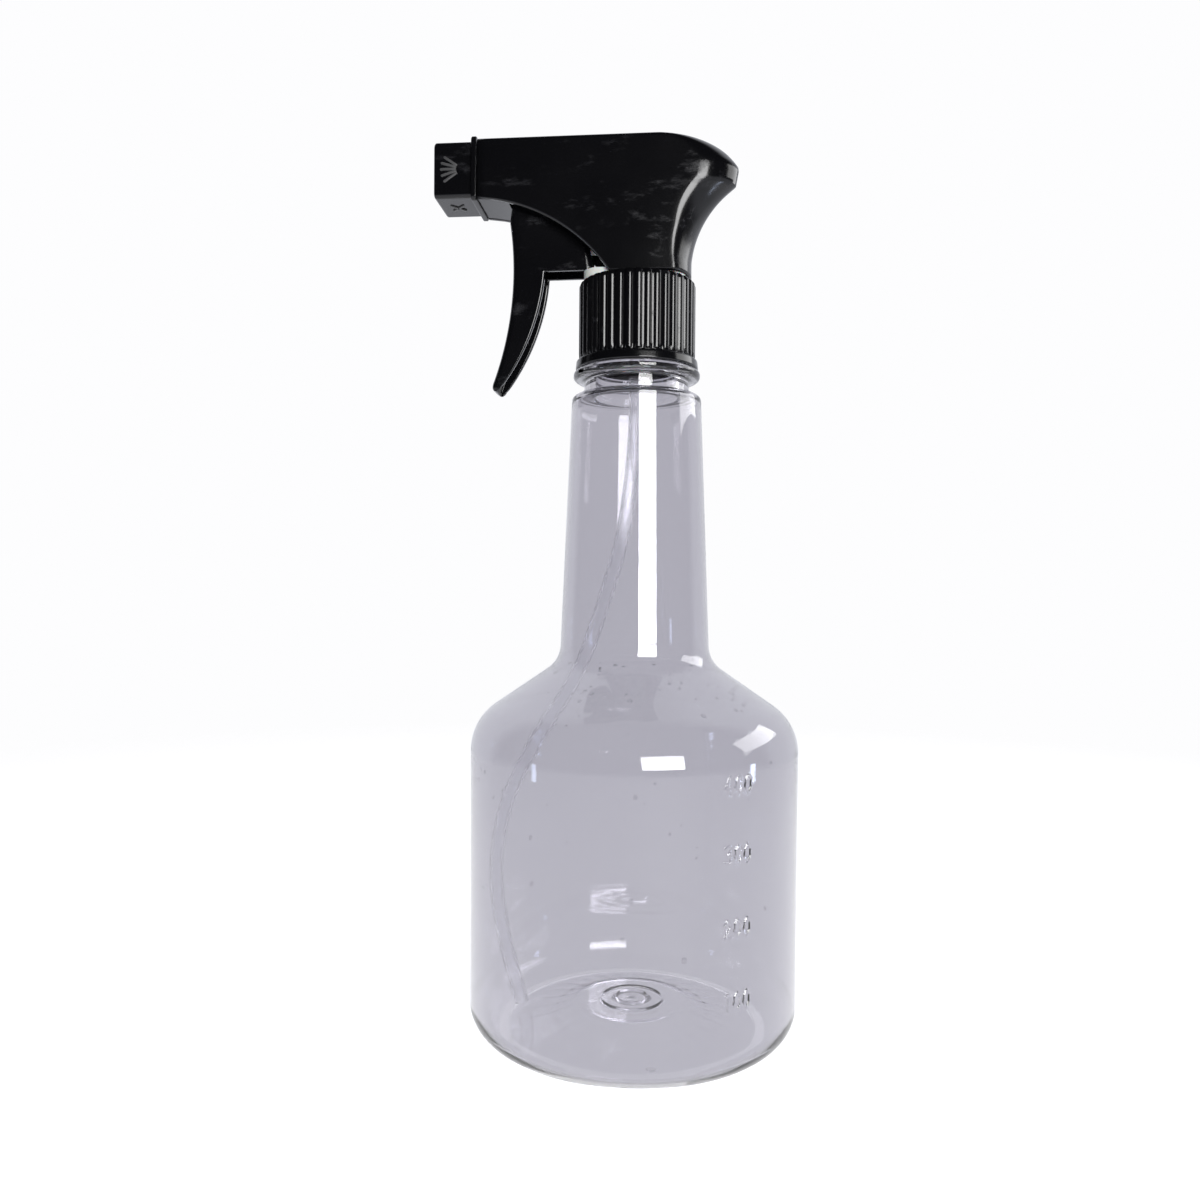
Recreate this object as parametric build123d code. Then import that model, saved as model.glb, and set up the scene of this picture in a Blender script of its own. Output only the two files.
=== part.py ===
from build123d import *
import os
from math import cos, radians, sqrt, tan

# Hand-held spray bottle: a blown clear bottle with a 28 mm threaded neck, and a
# trigger sprayer on it. Millimetres, +Z up. The origin is on the bottle's axis at
# the plane it stands on, and the nozzle points along -X.

os.makedirs("parts", exist_ok=True)

# ---- bottle -----------------------------------------------------------------
body_r = 43.2
body_wall = 0.7
base_thick = 1.2
heel_r = 8.0
stand_ring_width = 2.6
push_up_r = 20.0
push_up_height = 5.2
shoulder_corner_z = 80.9
shoulder_slope = 34.4
shoulder_fillet = 14.0
neck_base_r = 19.85
neck_top_step = 3.2
neck_top_z = 167.0
neck_base_fillet = 8.0
neck_top_fillet = 1.6
bead_neck_step = 0.3
ring_proud = 0.5
ring_thick = 2.5
ring_gap = 4.0
finish_root_r = 12.5
finish_wall = 1.6
finish_height = 16.7

# ---- thread, shared by the bottle and the collar ----------------------------
thread_pitch = 4.2333
thread_depth = 1.1
thread_turns = 1.25
thread_root_width = 2.2
thread_crest_width = 0.9
thread_top_gap = 3.4
thread_clear = 0.4

# ---- closure collar ---------------------------------------------------------
collar_wall = 0.95
collar_rib_height = 0.5
collar_ribs = 38
collar_rib_width = 1.3
collar_skirt_proud = 0.85
collar_skirt_height = 2.4
collar_skirt_wall = 1.4
collar_top_round = 1.6
collar_ring_clear = 0.2
collar_lid = 3.3

# ---- gasket, tube connector and inlet valve ---------------------------------
gasket_thick = 1.2
gasket_bore_r = 8.0
gasket_clear = 0.45
flange_thick = 2.2
flange_clear = 0.1
stem_wall = 2.27
stem_length = 12.0
tube_r = 2.0
tube_wall = 0.6
tube_fit = 0.03
tube_insert = 10.0
ball_r = 2.25
ball_room = 0.65
ball_lift = 1.5
seat_hole_r = 1.4
seat_rest = 0.03
spigot_r = 6.0
spigot_bore_r = 5.2
spigot_fit = 0.05
spigot_height = 5.0
lip_thick = 0.6

# ---- pump body --------------------------------------------------------------
pump_neck_r = 8.3
pump_neck_fit = 0.3
plate_gap = 0.3
plate_thick = 2.3
plate_front_x = -14.0
cyl_floor_thick = 1.0
cyl_bore_r = 5.2
cyl_wall = 1.2
cyl_mouth_x = -5.3
cyl_end_x = 10.5
port_r = 0.8
riser_x = 6.8
riser_r = 2.4
riser_bore_r = 1.2
barrel_rise = 19.0
barrel_r = 2.8
barrel_bore_r = 1.3
valve_barrel_r = 4.05
valve_bore_r = 2.6
valve_barrel_gap = 1.0
valve_seat_depth = 1.5
bulkhead_thick = 1.8

# ---- piston and return spring -----------------------------------------------
piston_set_in = 0.3
piston_travel_fit = 0.05
piston_disc = 0.7
piston_hub_r = 2.6
cup_length = 2.6
rod_r = 2.0
spring_wire_r = 0.35
spring_coil_r = 3.6
spring_turns = 5.0
spring_seat_gap = 0.1

# ---- trigger ----------------------------------------------------------------
trigger_width = 8.8
trigger_wall = 1.2
trigger_front_wall = 1.7
pivot_x = -29.0
pivot_boss_r = 3.0
trunnion_r = 1.55
trunnion_fit = 0.05
ear_gap = 0.3
ear_thick = 1.6
pad_behind_pivot = 9.0
pad_thick = 1.6
pad_gap = 0.15
trigger_length = 56.6
trigger_web_gap = 0.2

# ---- shroud -----------------------------------------------------------------
shroud_room = 0.55
shroud_wall = 1.3
shroud_front_x = -41.9
shroud_rise = 7.6
shroud_chin = 7.8
shroud_back_x = 26.6
shroud_waist_x = 14.3
shroud_corner_r = 5.2
shroud_top_edge_r = 0.7
shroud_base_lap = 1.6

# ---- nozzle -----------------------------------------------------------------
nozzle_side = 14.7
nozzle_length = 10.2
nozzle_wall = 1.3
nozzle_edge_r = 0.7
nozzle_lip = 1.0
nozzle_lip_thick = 1.5
nozzle_face = 1.6
nozzle_gap = 0.1
nozzle_fit = 0.1
nozzle_tube_wall = 1.2
nozzle_bead = 0.3
orifice_r = 0.45
seal_thick = 1.0
swirl_length = 5.4
swirl_fit = 0.04
swirl_slot = 0.5
poppet_length = 2.2
poppet_clear = 0.35
outlet_wire_r = 0.2
outlet_coil_r = 1.5
outlet_turns = 6.0

# ---- levels and places worked out from the sizes above ----------------------
thread_r = finish_root_r + thread_depth
finish_bore_r = finish_root_r - finish_wall
bead_neck_r = thread_r + bead_neck_step
neck_top_r = bead_neck_r + neck_top_step
collar_bore_r = thread_r + thread_clear
collar_body_r = collar_bore_r + collar_wall
collar_rib_r = collar_body_r + collar_rib_height
collar_skirt_r = collar_rib_r + collar_skirt_proud
ring_r = collar_skirt_r + ring_proud
ring_z0 = neck_top_z + ring_gap
ring_z1 = ring_z0 + ring_thick
rim_z = ring_z1 + finish_height
thread_z0 = rim_z - thread_top_gap - thread_turns * thread_pitch
flange_z0 = rim_z + gasket_thick
flange_z1 = flange_z0 + flange_thick
flange_r = collar_bore_r - gasket_clear
stem_r = tube_r + tube_fit + stem_wall
spigot_top_z = flange_z1 + spigot_height
collar_z0 = ring_z1 + collar_ring_clear
lid_z0 = flange_z1 + flange_clear
collar_z1 = lid_z0 + collar_lid
plate_z0 = collar_z1 + plate_gap
plate_z1 = plate_z0 + plate_thick
cyl_r = cyl_bore_r + cyl_wall
cyl_z = plate_z1 + cyl_floor_thick + cyl_r
cyl_floor_x = cyl_end_x - cyl_wall
barrel_z = cyl_z + barrel_rise
pivot_z = barrel_z
trigger_half = trigger_width / 2
gap_half = trigger_half - trigger_wall
ear_in = trigger_half + ear_gap
ear_out = ear_in + ear_thick
pad_x = pivot_x + pad_behind_pivot
trigger_tip_z = pivot_z - trigger_length
piston_rest_x = cyl_mouth_x + piston_set_in
valve_barrel_x = pivot_x - pivot_boss_r - valve_barrel_gap
valve_seat_x = valve_barrel_x - valve_seat_depth
inner_half = max(cyl_r, ear_out) + shroud_room
shroud_half = inner_half + shroud_wall
shroud_top_z = barrel_z + shroud_rise
cap_back_x = shroud_front_x - nozzle_gap
cap_front_x = cap_back_x - nozzle_lip_thick - nozzle_length
spigot_end_x = cap_front_x + nozzle_face + nozzle_gap + seal_thick


def solid_of_revolution(points, radii=None):
    """Turns a closed outline of (radius, z) points about +Z."""
    with BuildSketch(Plane.XZ) as outline:
        with BuildLine():
            if radii is None:
                Polyline(*points, close=True)
            else:
                FilletPolyline(*points, radius=radii, close=True)
        make_face()
    return revolve(outline.sketch, Axis.Z)


def cylinder_x(x0, x1, radius, z, y=0.0):
    """A cylinder lying along X from x0 to x1."""
    middle = (x0 + x1) / 2
    return Pos(middle, y, z) * Rot(0, 90, 0) * Cylinder(radius, abs(x1 - x0))


def cylinder_z(z0, z1, radius, x=0.0, y=0.0):
    """A cylinder standing along Z from z0 to z1."""
    return Pos(x, y, (z0 + z1) / 2) * Cylinder(radius, z1 - z0)


def block(x0, x1, half_y, z0, z1):
    """A box between two x, two z and plus or minus half_y."""
    centre = Pos((x0 + x1) / 2, 0, (z0 + z1) / 2)
    return centre * Box(x1 - x0, 2 * half_y, z1 - z0)


def extruded_profile(lines, half_y):
    """Extrudes a closed (x, z) outline to plus and minus half_y."""
    with BuildSketch(Plane.XZ) as outline:
        with BuildLine():
            lines()
        make_face()
    return extrude(outline.sketch, half_y, both=True)


def thread_ridge(root_r, crest_r, z_start, turns):
    """A right-handed helical ridge of trapezoid section, sunk 0.3 into its wall."""
    inward = 1 if crest_r < root_r else -1
    buried = root_r + 0.3 * inward
    wide = thread_root_width / 2
    narrow = thread_crest_width / 2
    path = Helix(thread_pitch, turns * thread_pitch, root_r)
    with BuildSketch(Plane.XZ) as section:
        with BuildLine():
            Polyline(
                (buried, -wide),
                (crest_r, -narrow),
                (crest_r, narrow),
                (buried, wide),
                close=True,
            )
        make_face()
    ridge = sweep(section.sketch, path=path, is_frenet=True)
    return Pos(0, 0, z_start) * ridge


def coil_spring(coil_r, wire_r, length, turns):
    """A coil spring standing on the origin along +Z, between its end faces."""
    travel = length - 2 * wire_r
    path = Helix(travel / turns, travel, coil_r)
    section = Plane(origin=path @ 0, z_dir=path % 0) * Circle(wire_r)
    return Pos(0, 0, wire_r) * sweep(section, path=path, is_frenet=True)


def bottle_outline(inset):
    """Corner points and fillets of the bottle's side, moved in by inset."""
    slope = radians(shoulder_slope)
    drop = inset / cos(slope)
    corner_r = body_r - inset
    corner_z = shoulder_corner_z + inset * tan(slope) - drop
    base_r = neck_base_r - inset
    base_z = corner_z + (corner_r - base_r) * tan(slope)
    top_r = neck_top_r - inset
    points = [(corner_r, corner_z), (base_r, base_z), (top_r, neck_top_z - inset)]
    radii = [shoulder_fillet - inset, neck_base_fillet + inset, neck_top_fillet]
    return points, radii


def make_bottle():
    stand_r1 = body_r - heel_r
    stand_r0 = stand_r1 - stand_ring_width
    sides, side_radii = bottle_outline(0.0)
    rise = push_up_height * 0.55
    outer = [(0, push_up_height), (push_up_r * 0.7, push_up_height), (push_up_r, rise)]
    outer += [(stand_r0, 0), (body_r, 0)] + sides
    outer += [(bead_neck_r, neck_top_z), (bead_neck_r, ring_z0), (ring_r, ring_z0)]
    outer += [(ring_r, ring_z1), (finish_root_r, ring_z1), (finish_root_r, rim_z), (0, rim_z)]
    radii = [0, 5.0, 3.0, 1.0, heel_r] + side_radii
    radii += [0.6, 0.6, 0.9, 0.9, 0.3, 0.4, 0]
    shell = solid_of_revolution(outer, radii)
    sides, side_radii = bottle_outline(body_wall)
    up = push_up_height + base_thick
    inner = [(0, up), (push_up_r * 0.7, up), (push_up_r, rise + base_thick)]
    inner += [(stand_r0, base_thick), (body_r - body_wall, base_thick)] + sides
    inner += [(finish_bore_r, neck_top_z - body_wall), (finish_bore_r, rim_z + 1), (0, rim_z + 1)]
    radii = [0, 5.0, 3.0, 1.0, heel_r - body_wall] + side_radii
    radii += [0.6, 0, 0]
    shell -= solid_of_revolution(inner, radii)
    return shell + thread_ridge(finish_root_r, thread_r, thread_z0, thread_turns)


def make_collar():
    band_z = collar_z0 + collar_skirt_height
    skirt_in = collar_skirt_r - collar_skirt_wall
    outline = [(collar_bore_r, collar_z0 + 1.2), (skirt_in, collar_z0)]
    outline += [(collar_skirt_r, collar_z0), (collar_skirt_r - 0.4, band_z), (collar_body_r, band_z)]
    outline += [(collar_body_r, collar_z1), (pump_neck_r + pump_neck_fit, collar_z1)]
    outline += [(pump_neck_r + pump_neck_fit, lid_z0), (collar_bore_r, lid_z0)]
    collar = solid_of_revolution(outline, [0, 0.3, 0.4, 0.3, 0, collar_top_round, 0.3, 0, 0])
    envelope = solid_of_revolution(
        [(collar_body_r - 0.6, band_z - 0.4), (collar_rib_r + 0.25, band_z - 0.4)]
        + [(collar_rib_r, collar_z1), (collar_body_r - 2.5, collar_z1)]
        + [(collar_body_r - 2.5, collar_z1 - 1.4), (collar_body_r - 0.6, collar_z1 - 3.0)],
        [0, 0, collar_top_round, 0, 0, 0],
    )
    rib_height = collar_z1 - band_z + 1
    rib = Box(4, collar_rib_width, rib_height)
    ribs = PolarLocations(collar_rib_r - 1, collar_ribs) * rib
    ribs = [Pos(0, 0, band_z + rib_height / 2 - 0.4) * one for one in ribs]
    collar += [one & envelope for one in ribs]
    start = thread_z0 - thread_pitch / 2
    return collar + thread_ridge(collar_bore_r, thread_r - thread_depth + 0.35, start, thread_turns)


def make_gasket():
    return cylinder_z(rim_z, flange_z0, flange_r) - cylinder_z(rim_z, flange_z0, gasket_bore_r)


def ball_seat_z():
    """Height at which the ball's lowest point of contact leaves the seat's cone."""
    return flange_z0 - seat_hole_r + ball_r * sqrt(2)


def make_tube_connector():
    chamber_r = ball_r + ball_room
    seat_z = flange_z0
    chamber_z = seat_z + chamber_r - seat_hole_r
    ball_z = ball_seat_z() + seat_rest
    lip_r = ball_r - 0.2
    lip_z = ball_z + ball_lift + 0.1 + sqrt(ball_r**2 - lip_r**2)
    stem_z0 = flange_z0 - stem_length
    part = cylinder_z(flange_z0, flange_z1, flange_r)
    part += cylinder_z(stem_z0, flange_z0, stem_r)
    part += cylinder_z(flange_z1, spigot_top_z, spigot_r)
    bore = [(0, stem_z0 - 1), (tube_r + tube_fit, stem_z0 - 1)]
    bore += [(tube_r + tube_fit, stem_z0 + tube_insert), (seat_hole_r, stem_z0 + tube_insert)]
    bore += [(seat_hole_r, seat_z), (chamber_r, chamber_z), (chamber_r, lip_z), (lip_r, lip_z)]
    bore += [(lip_r, lip_z + lip_thick), (spigot_bore_r, lip_z + lip_thick + 0.8)]
    bore += [(spigot_bore_r, spigot_top_z + 1), (0, spigot_top_z + 1)]
    part -= solid_of_revolution(bore)
    return chamfer(part.edges().group_by(Axis.Z)[0], 0.3)


def make_inlet_ball():
    return Pos(0, 0, ball_seat_z() + seat_rest) * Sphere(ball_r)


def dip_tube_route():
    """(x, z) points of the tube's centre line, bowed to the -X wall of the body."""
    wall_x = -(body_r - body_wall - tube_r - 1.3)
    top_z = flange_z0 - stem_length + tube_insert
    shoulder_x = -(neck_base_r - body_wall - tube_r - 1.9)
    neck_span = top_z - shoulder_corner_z - 30
    return [
        (0.0, top_z),
        (0.0, top_z - 0.43 * neck_span),
        (-2.8, top_z - 0.74 * neck_span),
        (-8.6, shoulder_corner_z + 30),
        (shoulder_x, shoulder_corner_z + 11),
        (wall_x + 11.0, 0.925 * shoulder_corner_z),
        (wall_x + 2.4, 0.70 * shoulder_corner_z),
        (wall_x, 0.48 * shoulder_corner_z),
        (wall_x + 2.8, 0.26 * shoulder_corner_z),
        (wall_x + 8.0, base_thick + 3.4),
    ]


def make_dip_tube():
    route = [Vector(x, 0, z) for x, z in dip_tube_route()]
    radii = []
    for before, here, after in zip(route, route[1:], route[2:]):
        turn = radians((here - before).get_angle(after - here))
        shorter = min((here - before).length, (after - here).length)
        radii.append(0.45 * shorter / tan(turn / 2))
    print("dip tube arc radii:", [round(r, 1) for r in radii])
    with BuildLine() as path:
        FilletPolyline(*route, radius=radii)
    end = Plane(origin=path.line @ 0, z_dir=path.line % 0)
    ring = end * (Circle(tube_r) - Circle(tube_r - tube_wall))
    return sweep(ring, path=path.line)


def make_pump_body():
    back_x = shroud_waist_x - shroud_wall - 0.2
    with BuildSketch() as plan:
        with BuildLine():
            FilletPolyline(
                (plate_front_x, -inner_half + 0.05),
                (back_x, -inner_half + 0.05),
                (back_x, inner_half - 0.05),
                (plate_front_x, inner_half - 0.05),
                radius=[4.5, shroud_corner_r - shroud_wall, shroud_corner_r - shroud_wall, 4.5],
                close=True,
            )
        make_face()
    part = Pos(0, 0, plate_z0) * extrude(plan.sketch, plate_thick)
    part += cylinder_z(flange_z1 + flange_clear, plate_z0, pump_neck_r)
    part += block(cyl_mouth_x, cyl_end_x, 4.0, plate_z1, cyl_z - cyl_bore_r)
    part += cylinder_x(cyl_mouth_x, cyl_end_x, cyl_r, cyl_z)
    part += cylinder_z(cyl_z + cyl_bore_r, barrel_z, riser_r, riser_x)
    part += cylinder_x(valve_barrel_x, riser_x, barrel_r, barrel_z)
    part += Pos(riser_x, 0, barrel_z) * Sphere(barrel_r)
    part += cylinder_x(spigot_end_x, valve_barrel_x, valve_barrel_r, barrel_z)
    ear_half = pivot_boss_r + 0.4
    bulkhead_top = shroud_top_z - shroud_wall - 0.5
    part += block(valve_barrel_x - bulkhead_thick, valve_barrel_x, ear_out, barrel_z - 6, bulkhead_top)
    for side in (-1, 1):
        ear = block(valve_barrel_x - 0.5, pivot_x, ear_thick / 2, pivot_z - ear_half, pivot_z + ear_half)
        ear += Pos(pivot_x, 0, pivot_z) * Rot(90, 0, 0) * Cylinder(ear_half, ear_thick)
        hole = Pos(pivot_x, 0, pivot_z) * Rot(90, 0, 0) * Cylinder(trunnion_r + trunnion_fit, 4)
        part += Pos(0, side * (ear_in + ear_thick / 2), 0) * (ear - hole)
    part -= cylinder_z(flange_z1, spigot_top_z + 0.1, spigot_r + spigot_fit)
    part -= cylinder_x(cyl_mouth_x - 1, cyl_floor_x, cyl_bore_r, cyl_z)
    port_x = spigot_bore_r - port_r
    part -= cylinder_z(spigot_top_z - 1, cyl_z - cyl_bore_r + 0.6, port_r, port_x)
    part -= cylinder_z(cyl_z + cyl_bore_r - 1, barrel_z, riser_bore_r, riser_x)
    part -= cylinder_x(valve_seat_x - 1, riser_x, barrel_bore_r, barrel_z)
    part -= cylinder_x(spigot_end_x - 1, valve_seat_x, valve_bore_r, barrel_z)
    groove_x = cap_back_x - nozzle_lip_thick
    groove = cylinder_x(groove_x - 0.9, groove_x + 0.9, valve_barrel_r + 1, barrel_z)
    groove -= cylinder_x(groove_x - 2, groove_x + 2, valve_barrel_r - nozzle_bead - 0.1, barrel_z)
    return part - groove


def make_piston():
    """The piston head in the cylinder and its rod, whose round tip meets the trigger."""
    head_r = cyl_bore_r - 0.25
    hub_x = piston_rest_x + piston_disc
    tip_x = pad_x + pad_gap + rod_r
    part = cylinder_x(piston_rest_x, hub_x, head_r, cyl_z)
    part += cylinder_x(hub_x, hub_x + cup_length, piston_hub_r, cyl_z)
    part += cylinder_x(tip_x, piston_rest_x, rod_r, cyl_z)
    return part + Pos(tip_x, 0, cyl_z) * Sphere(rod_r)


def make_piston_cup():
    """A soft U-cup on the piston's hub, open towards the liquid."""
    x0 = piston_rest_x + piston_disc
    x1 = x0 + cup_length
    outer_r = cyl_bore_r - piston_travel_fit
    cup = cylinder_x(x0, x1, outer_r, cyl_z) - cylinder_x(x0, x1, piston_hub_r, cyl_z)
    trough = cylinder_x(x0 + 1.1, x1, outer_r - 0.7, cyl_z)
    trough -= cylinder_x(x0, x1, piston_hub_r + 0.7, cyl_z)
    return cup - trough


def make_return_spring():
    x0 = piston_rest_x + piston_disc + cup_length + spring_seat_gap
    length = cyl_floor_x - spring_seat_gap - x0
    spring = coil_spring(spring_coil_r, spring_wire_r, length, spring_turns)
    return Pos(x0, 0, cyl_z) * Rot(0, 90, 0) * spring


def trigger_front(inset):
    """Top, middle and bottom points of the trigger's front edge, moved back by inset."""
    top = (pivot_x - 4.9 + inset, pivot_z - 13.0)
    middle = (pivot_x - 4.1 + inset, pivot_z - 0.557 * trigger_length)
    bottom = (pivot_x - 9.3 + 1.2 * inset, trigger_tip_z + 0.6 + 0.8 * inset)
    return top, middle, bottom


def trigger_side():
    """Outline of the trigger's side plate, from the pivot boss to the finger tip."""
    web_z = plate_z1 + trigger_web_gap
    rear_x = cyl_mouth_x - 6.2
    front_top, front_mid, tip_front = trigger_front(0.0)
    tip_back = (pivot_x - 6.7, trigger_tip_z)
    crook = (pivot_x + 4.8, web_z)
    neck_point = (pad_x, pivot_z - 11.0)
    Line((pivot_x - pivot_boss_r, pivot_z), front_top)
    ThreePointArc(front_top, front_mid, tip_front)
    ThreePointArc(tip_front, (pivot_x - 8.4, trigger_tip_z - 1.1), tip_back)
    ThreePointArc(tip_back, (pivot_x + 1.3, (trigger_tip_z + web_z) / 2 - 0.5), crook)
    Line(crook, (rear_x, web_z))
    Line((rear_x, web_z), (rear_x - 1.0, cyl_z))
    Line((rear_x - 1.0, cyl_z), neck_point)
    Line(neck_point, (pivot_x + pivot_boss_r, pivot_z))
    ThreePointArc(
        (pivot_x + pivot_boss_r, pivot_z),
        (pivot_x, pivot_z + pivot_boss_r),
        (pivot_x - pivot_boss_r, pivot_z),
    )


def trigger_hollow():
    """Outline of the space between the plates, behind the front wall."""
    front_top, front_mid, tip_front = trigger_front(trigger_front_wall)
    front_x = pivot_x - 5.9
    barrel_low = pivot_z - barrel_r - 4.2
    over_z = pivot_z + 6
    Line(front_top, (front_x, barrel_low))
    Line((front_x, barrel_low), (front_x, over_z))
    Line((front_x, over_z), (0.0, over_z))
    Line((0.0, over_z), (0.0, tip_front[1]))
    Line((0.0, tip_front[1]), tip_front)
    ThreePointArc(tip_front, front_mid, front_top)


def make_trigger():
    part = extruded_profile(trigger_side, trigger_half)
    part -= extruded_profile(trigger_hollow, gap_half)
    part += block(pad_x - pad_thick, pad_x, gap_half + 0.2, cyl_z - 4.5, cyl_z + 4.5)
    rib_x = trigger_front(0.8)[1][0]
    part += block(rib_x, pad_x - pad_thick + 0.2, gap_half + 0.2, cyl_z - 0.7, cyl_z + 0.7)
    for side in (-1, 1):
        y = side * (gap_half + ear_out) / 2
        part += Pos(pivot_x, y, pivot_z) * Rot(90, 0, 0) * Cylinder(trunnion_r, ear_out - gap_half)
    return part


def shroud_form(inset, bottom_lines):
    """The shroud's outer form about the barrel's axis, or with an inset the space inside."""

    def lines():
        front = shroud_front_x + inset
        top = shroud_rise - inset
        back = shroud_back_x - inset
        waist = shroud_waist_x - inset
        crown = (12.0, top)
        back_high = (back, shroud_rise - 7.2)
        back_low = (back - 0.8, shroud_rise - 11.7)
        waist_top = (waist, shroud_rise - 31.6)
        Line((front, top), crown)
        ThreePointArc(crown, (back - 5.1, top - 2.1), back_high)
        Line(back_high, back_low)
        ThreePointArc(back_low, (waist + 3.3, shroud_rise - 20.9), waist_top)
        bottom_lines(waist_top, (front, top))

    form = extruded_profile(lines, shroud_half - inset)
    rear = form.faces().filter_by(Axis.Y).edges()
    rear = [edge for edge in rear if edge.center().X > shroud_waist_x - 1.5 - inset]
    rear = [edge for edge in rear if edge.center().Z < shroud_rise - 4.5]
    return fillet(rear, shroud_corner_r - inset)


def make_shroud():
    """The cover, worked out about the barrel's axis and then set at its height."""
    floor = plate_z1 - shroud_base_lap - barrel_z
    arch_x = cyl_mouth_x - 1.3
    chin = -shroud_chin

    def outer_bottom(start, end):
        Line(start, (shroud_waist_x, floor))
        Line((shroud_waist_x, floor), (arch_x, floor))
        ThreePointArc((arch_x, floor), (pad_x, -15.2), (shroud_front_x, chin))
        Line((shroud_front_x, chin), end)

    def inner_bottom(start, end):
        Line(start, (start[0], floor - 3))
        Line((start[0], floor - 3), (end[0], floor - 3))
        Line((end[0], floor - 3), end)

    outer = shroud_form(0.0, outer_bottom)
    long_edges = outer.edges().filter_by(Axis.X)
    top_edges = [edge for edge in long_edges if edge.center().Z > shroud_rise - 0.1]
    part = fillet(top_edges, shroud_top_edge_r) - shroud_form(shroud_wall, inner_bottom)
    slot_r = valve_barrel_r + 0.3
    part -= cylinder_x(shroud_front_x - 1, shroud_front_x + 3, slot_r, 0)
    part -= block(shroud_front_x - 1, shroud_front_x + 3, slot_r, chin - 1, 0)
    return Pos(0, 0, barrel_z) * part


def make_nozzle_cap():
    lip_half = nozzle_side / 2 + nozzle_lip
    lip_x = cap_back_x - nozzle_lip_thick
    side = nozzle_side / 2
    cap = block(cap_front_x, cap_back_x, side, barrel_z - side, barrel_z + side)
    cap = fillet(cap.edges().filter_by(Axis.X) + cap.faces().sort_by(Axis.X)[0].edges(), nozzle_edge_r)
    lip = block(lip_x, cap_back_x, lip_half, barrel_z - lip_half, barrel_z + lip_half)
    cap += fillet(lip.edges().filter_by(Axis.X), nozzle_edge_r)
    room = side - nozzle_wall
    cap -= block(cap_front_x + nozzle_wall, cap_back_x + 1, room, barrel_z - room, barrel_z + room)
    bore_r = valve_barrel_r + nozzle_fit
    cap += cylinder_x(cap_front_x + 0.2, cap_back_x, bore_r + nozzle_tube_wall, barrel_z)
    face_x = spigot_end_x - seal_thick - nozzle_gap
    cap -= cylinder_x(face_x, cap_back_x + 1, bore_r, barrel_z)
    bead = cylinder_x(lip_x - 0.5, lip_x + 0.5, bore_r + 0.2, barrel_z)
    cap += bead - cylinder_x(lip_x - 1, lip_x + 1, valve_barrel_r - nozzle_bead, barrel_z)
    cap -= cylinder_x(cap_front_x - 1, face_x + 1, orifice_r, barrel_z)
    cone = Pos(cap_front_x + 0.4, 0, barrel_z) * Rot(0, 90, 0) * Cone(2.4, orifice_r, 0.8)
    return cap - cone


def make_nozzle_seal():
    x0 = spigot_end_x - seal_thick
    ring = cylinder_x(x0, spigot_end_x, valve_barrel_r - 0.1, barrel_z)
    return ring - cylinder_x(x0, spigot_end_x, valve_bore_r + 0.3, barrel_z)


def make_swirl_insert():
    """A plug with three feed slots and a swirl pocket behind the orifice."""
    x1 = spigot_end_x + swirl_length
    plug = cylinder_x(spigot_end_x, x1, valve_bore_r - swirl_fit, barrel_z)
    plug -= cylinder_x(spigot_end_x, spigot_end_x + 0.4, 1.2, barrel_z)
    for turn in range(3):
        spin = Pos(0, 0, barrel_z) * Rot(120 * turn, 0, 0)
        slot = Pos((spigot_end_x + x1) / 2, 0, valve_bore_r) * Box(swirl_length + 1, 0.8, 2 * swirl_slot)
        feed = Pos(spigot_end_x + 0.2, 0.8, valve_bore_r / 2) * Box(0.4, 0.5, valve_bore_r)
        plug -= spin * slot
        plug -= spin * feed
    return plug


def make_outlet_valve():
    x1 = valve_seat_x - 0.05
    x0 = x1 - poppet_length
    part = cylinder_x(x0 + 1.0, x1, valve_bore_r - poppet_clear, barrel_z)
    return part + cylinder_x(x0, x0 + 1.0, outlet_coil_r - outlet_wire_r - 0.15, barrel_z)


def make_outlet_spring():
    x1 = valve_seat_x - 0.05 - poppet_length + 1.0 - 0.05
    x0 = spigot_end_x + swirl_length + 0.05
    spring = coil_spring(outlet_coil_r, outlet_wire_r, x1 - x0, outlet_turns)
    return Pos(x0, 0, barrel_z) * Rot(0, 90, 0) * spring


MAKERS = {
    "bottle": make_bottle,
    "closure_collar": make_collar,
    "bottle_gasket": make_gasket,
    "tube_connector": make_tube_connector,
    "inlet_ball": make_inlet_ball,
    "dip_tube": make_dip_tube,
    "pump_body": make_pump_body,
    "piston": make_piston,
    "piston_cup": make_piston_cup,
    "return_spring": make_return_spring,
    "trigger": make_trigger,
    "shroud": make_shroud,
    "nozzle_cap": make_nozzle_cap,
    "nozzle_seal": make_nozzle_seal,
    "swirl_insert": make_swirl_insert,
    "outlet_valve": make_outlet_valve,
    "outlet_spring": make_outlet_spring,
}

for name, maker in MAKERS.items():
    part = maker()
    part.label = name
    export_step(part, f"parts/{name}.step")
    print(name, round(part.volume, 1), part.is_valid)
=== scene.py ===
"""Looks of a clear spray bottle with a black trigger sprayer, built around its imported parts."""

from math import cos, pi, radians, sin

import bmesh
import bpy
import numpy as np
from bpy.props import FloatProperty, FloatVectorProperty, IntProperty, PointerProperty
from mathutils import Matrix, Vector


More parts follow.
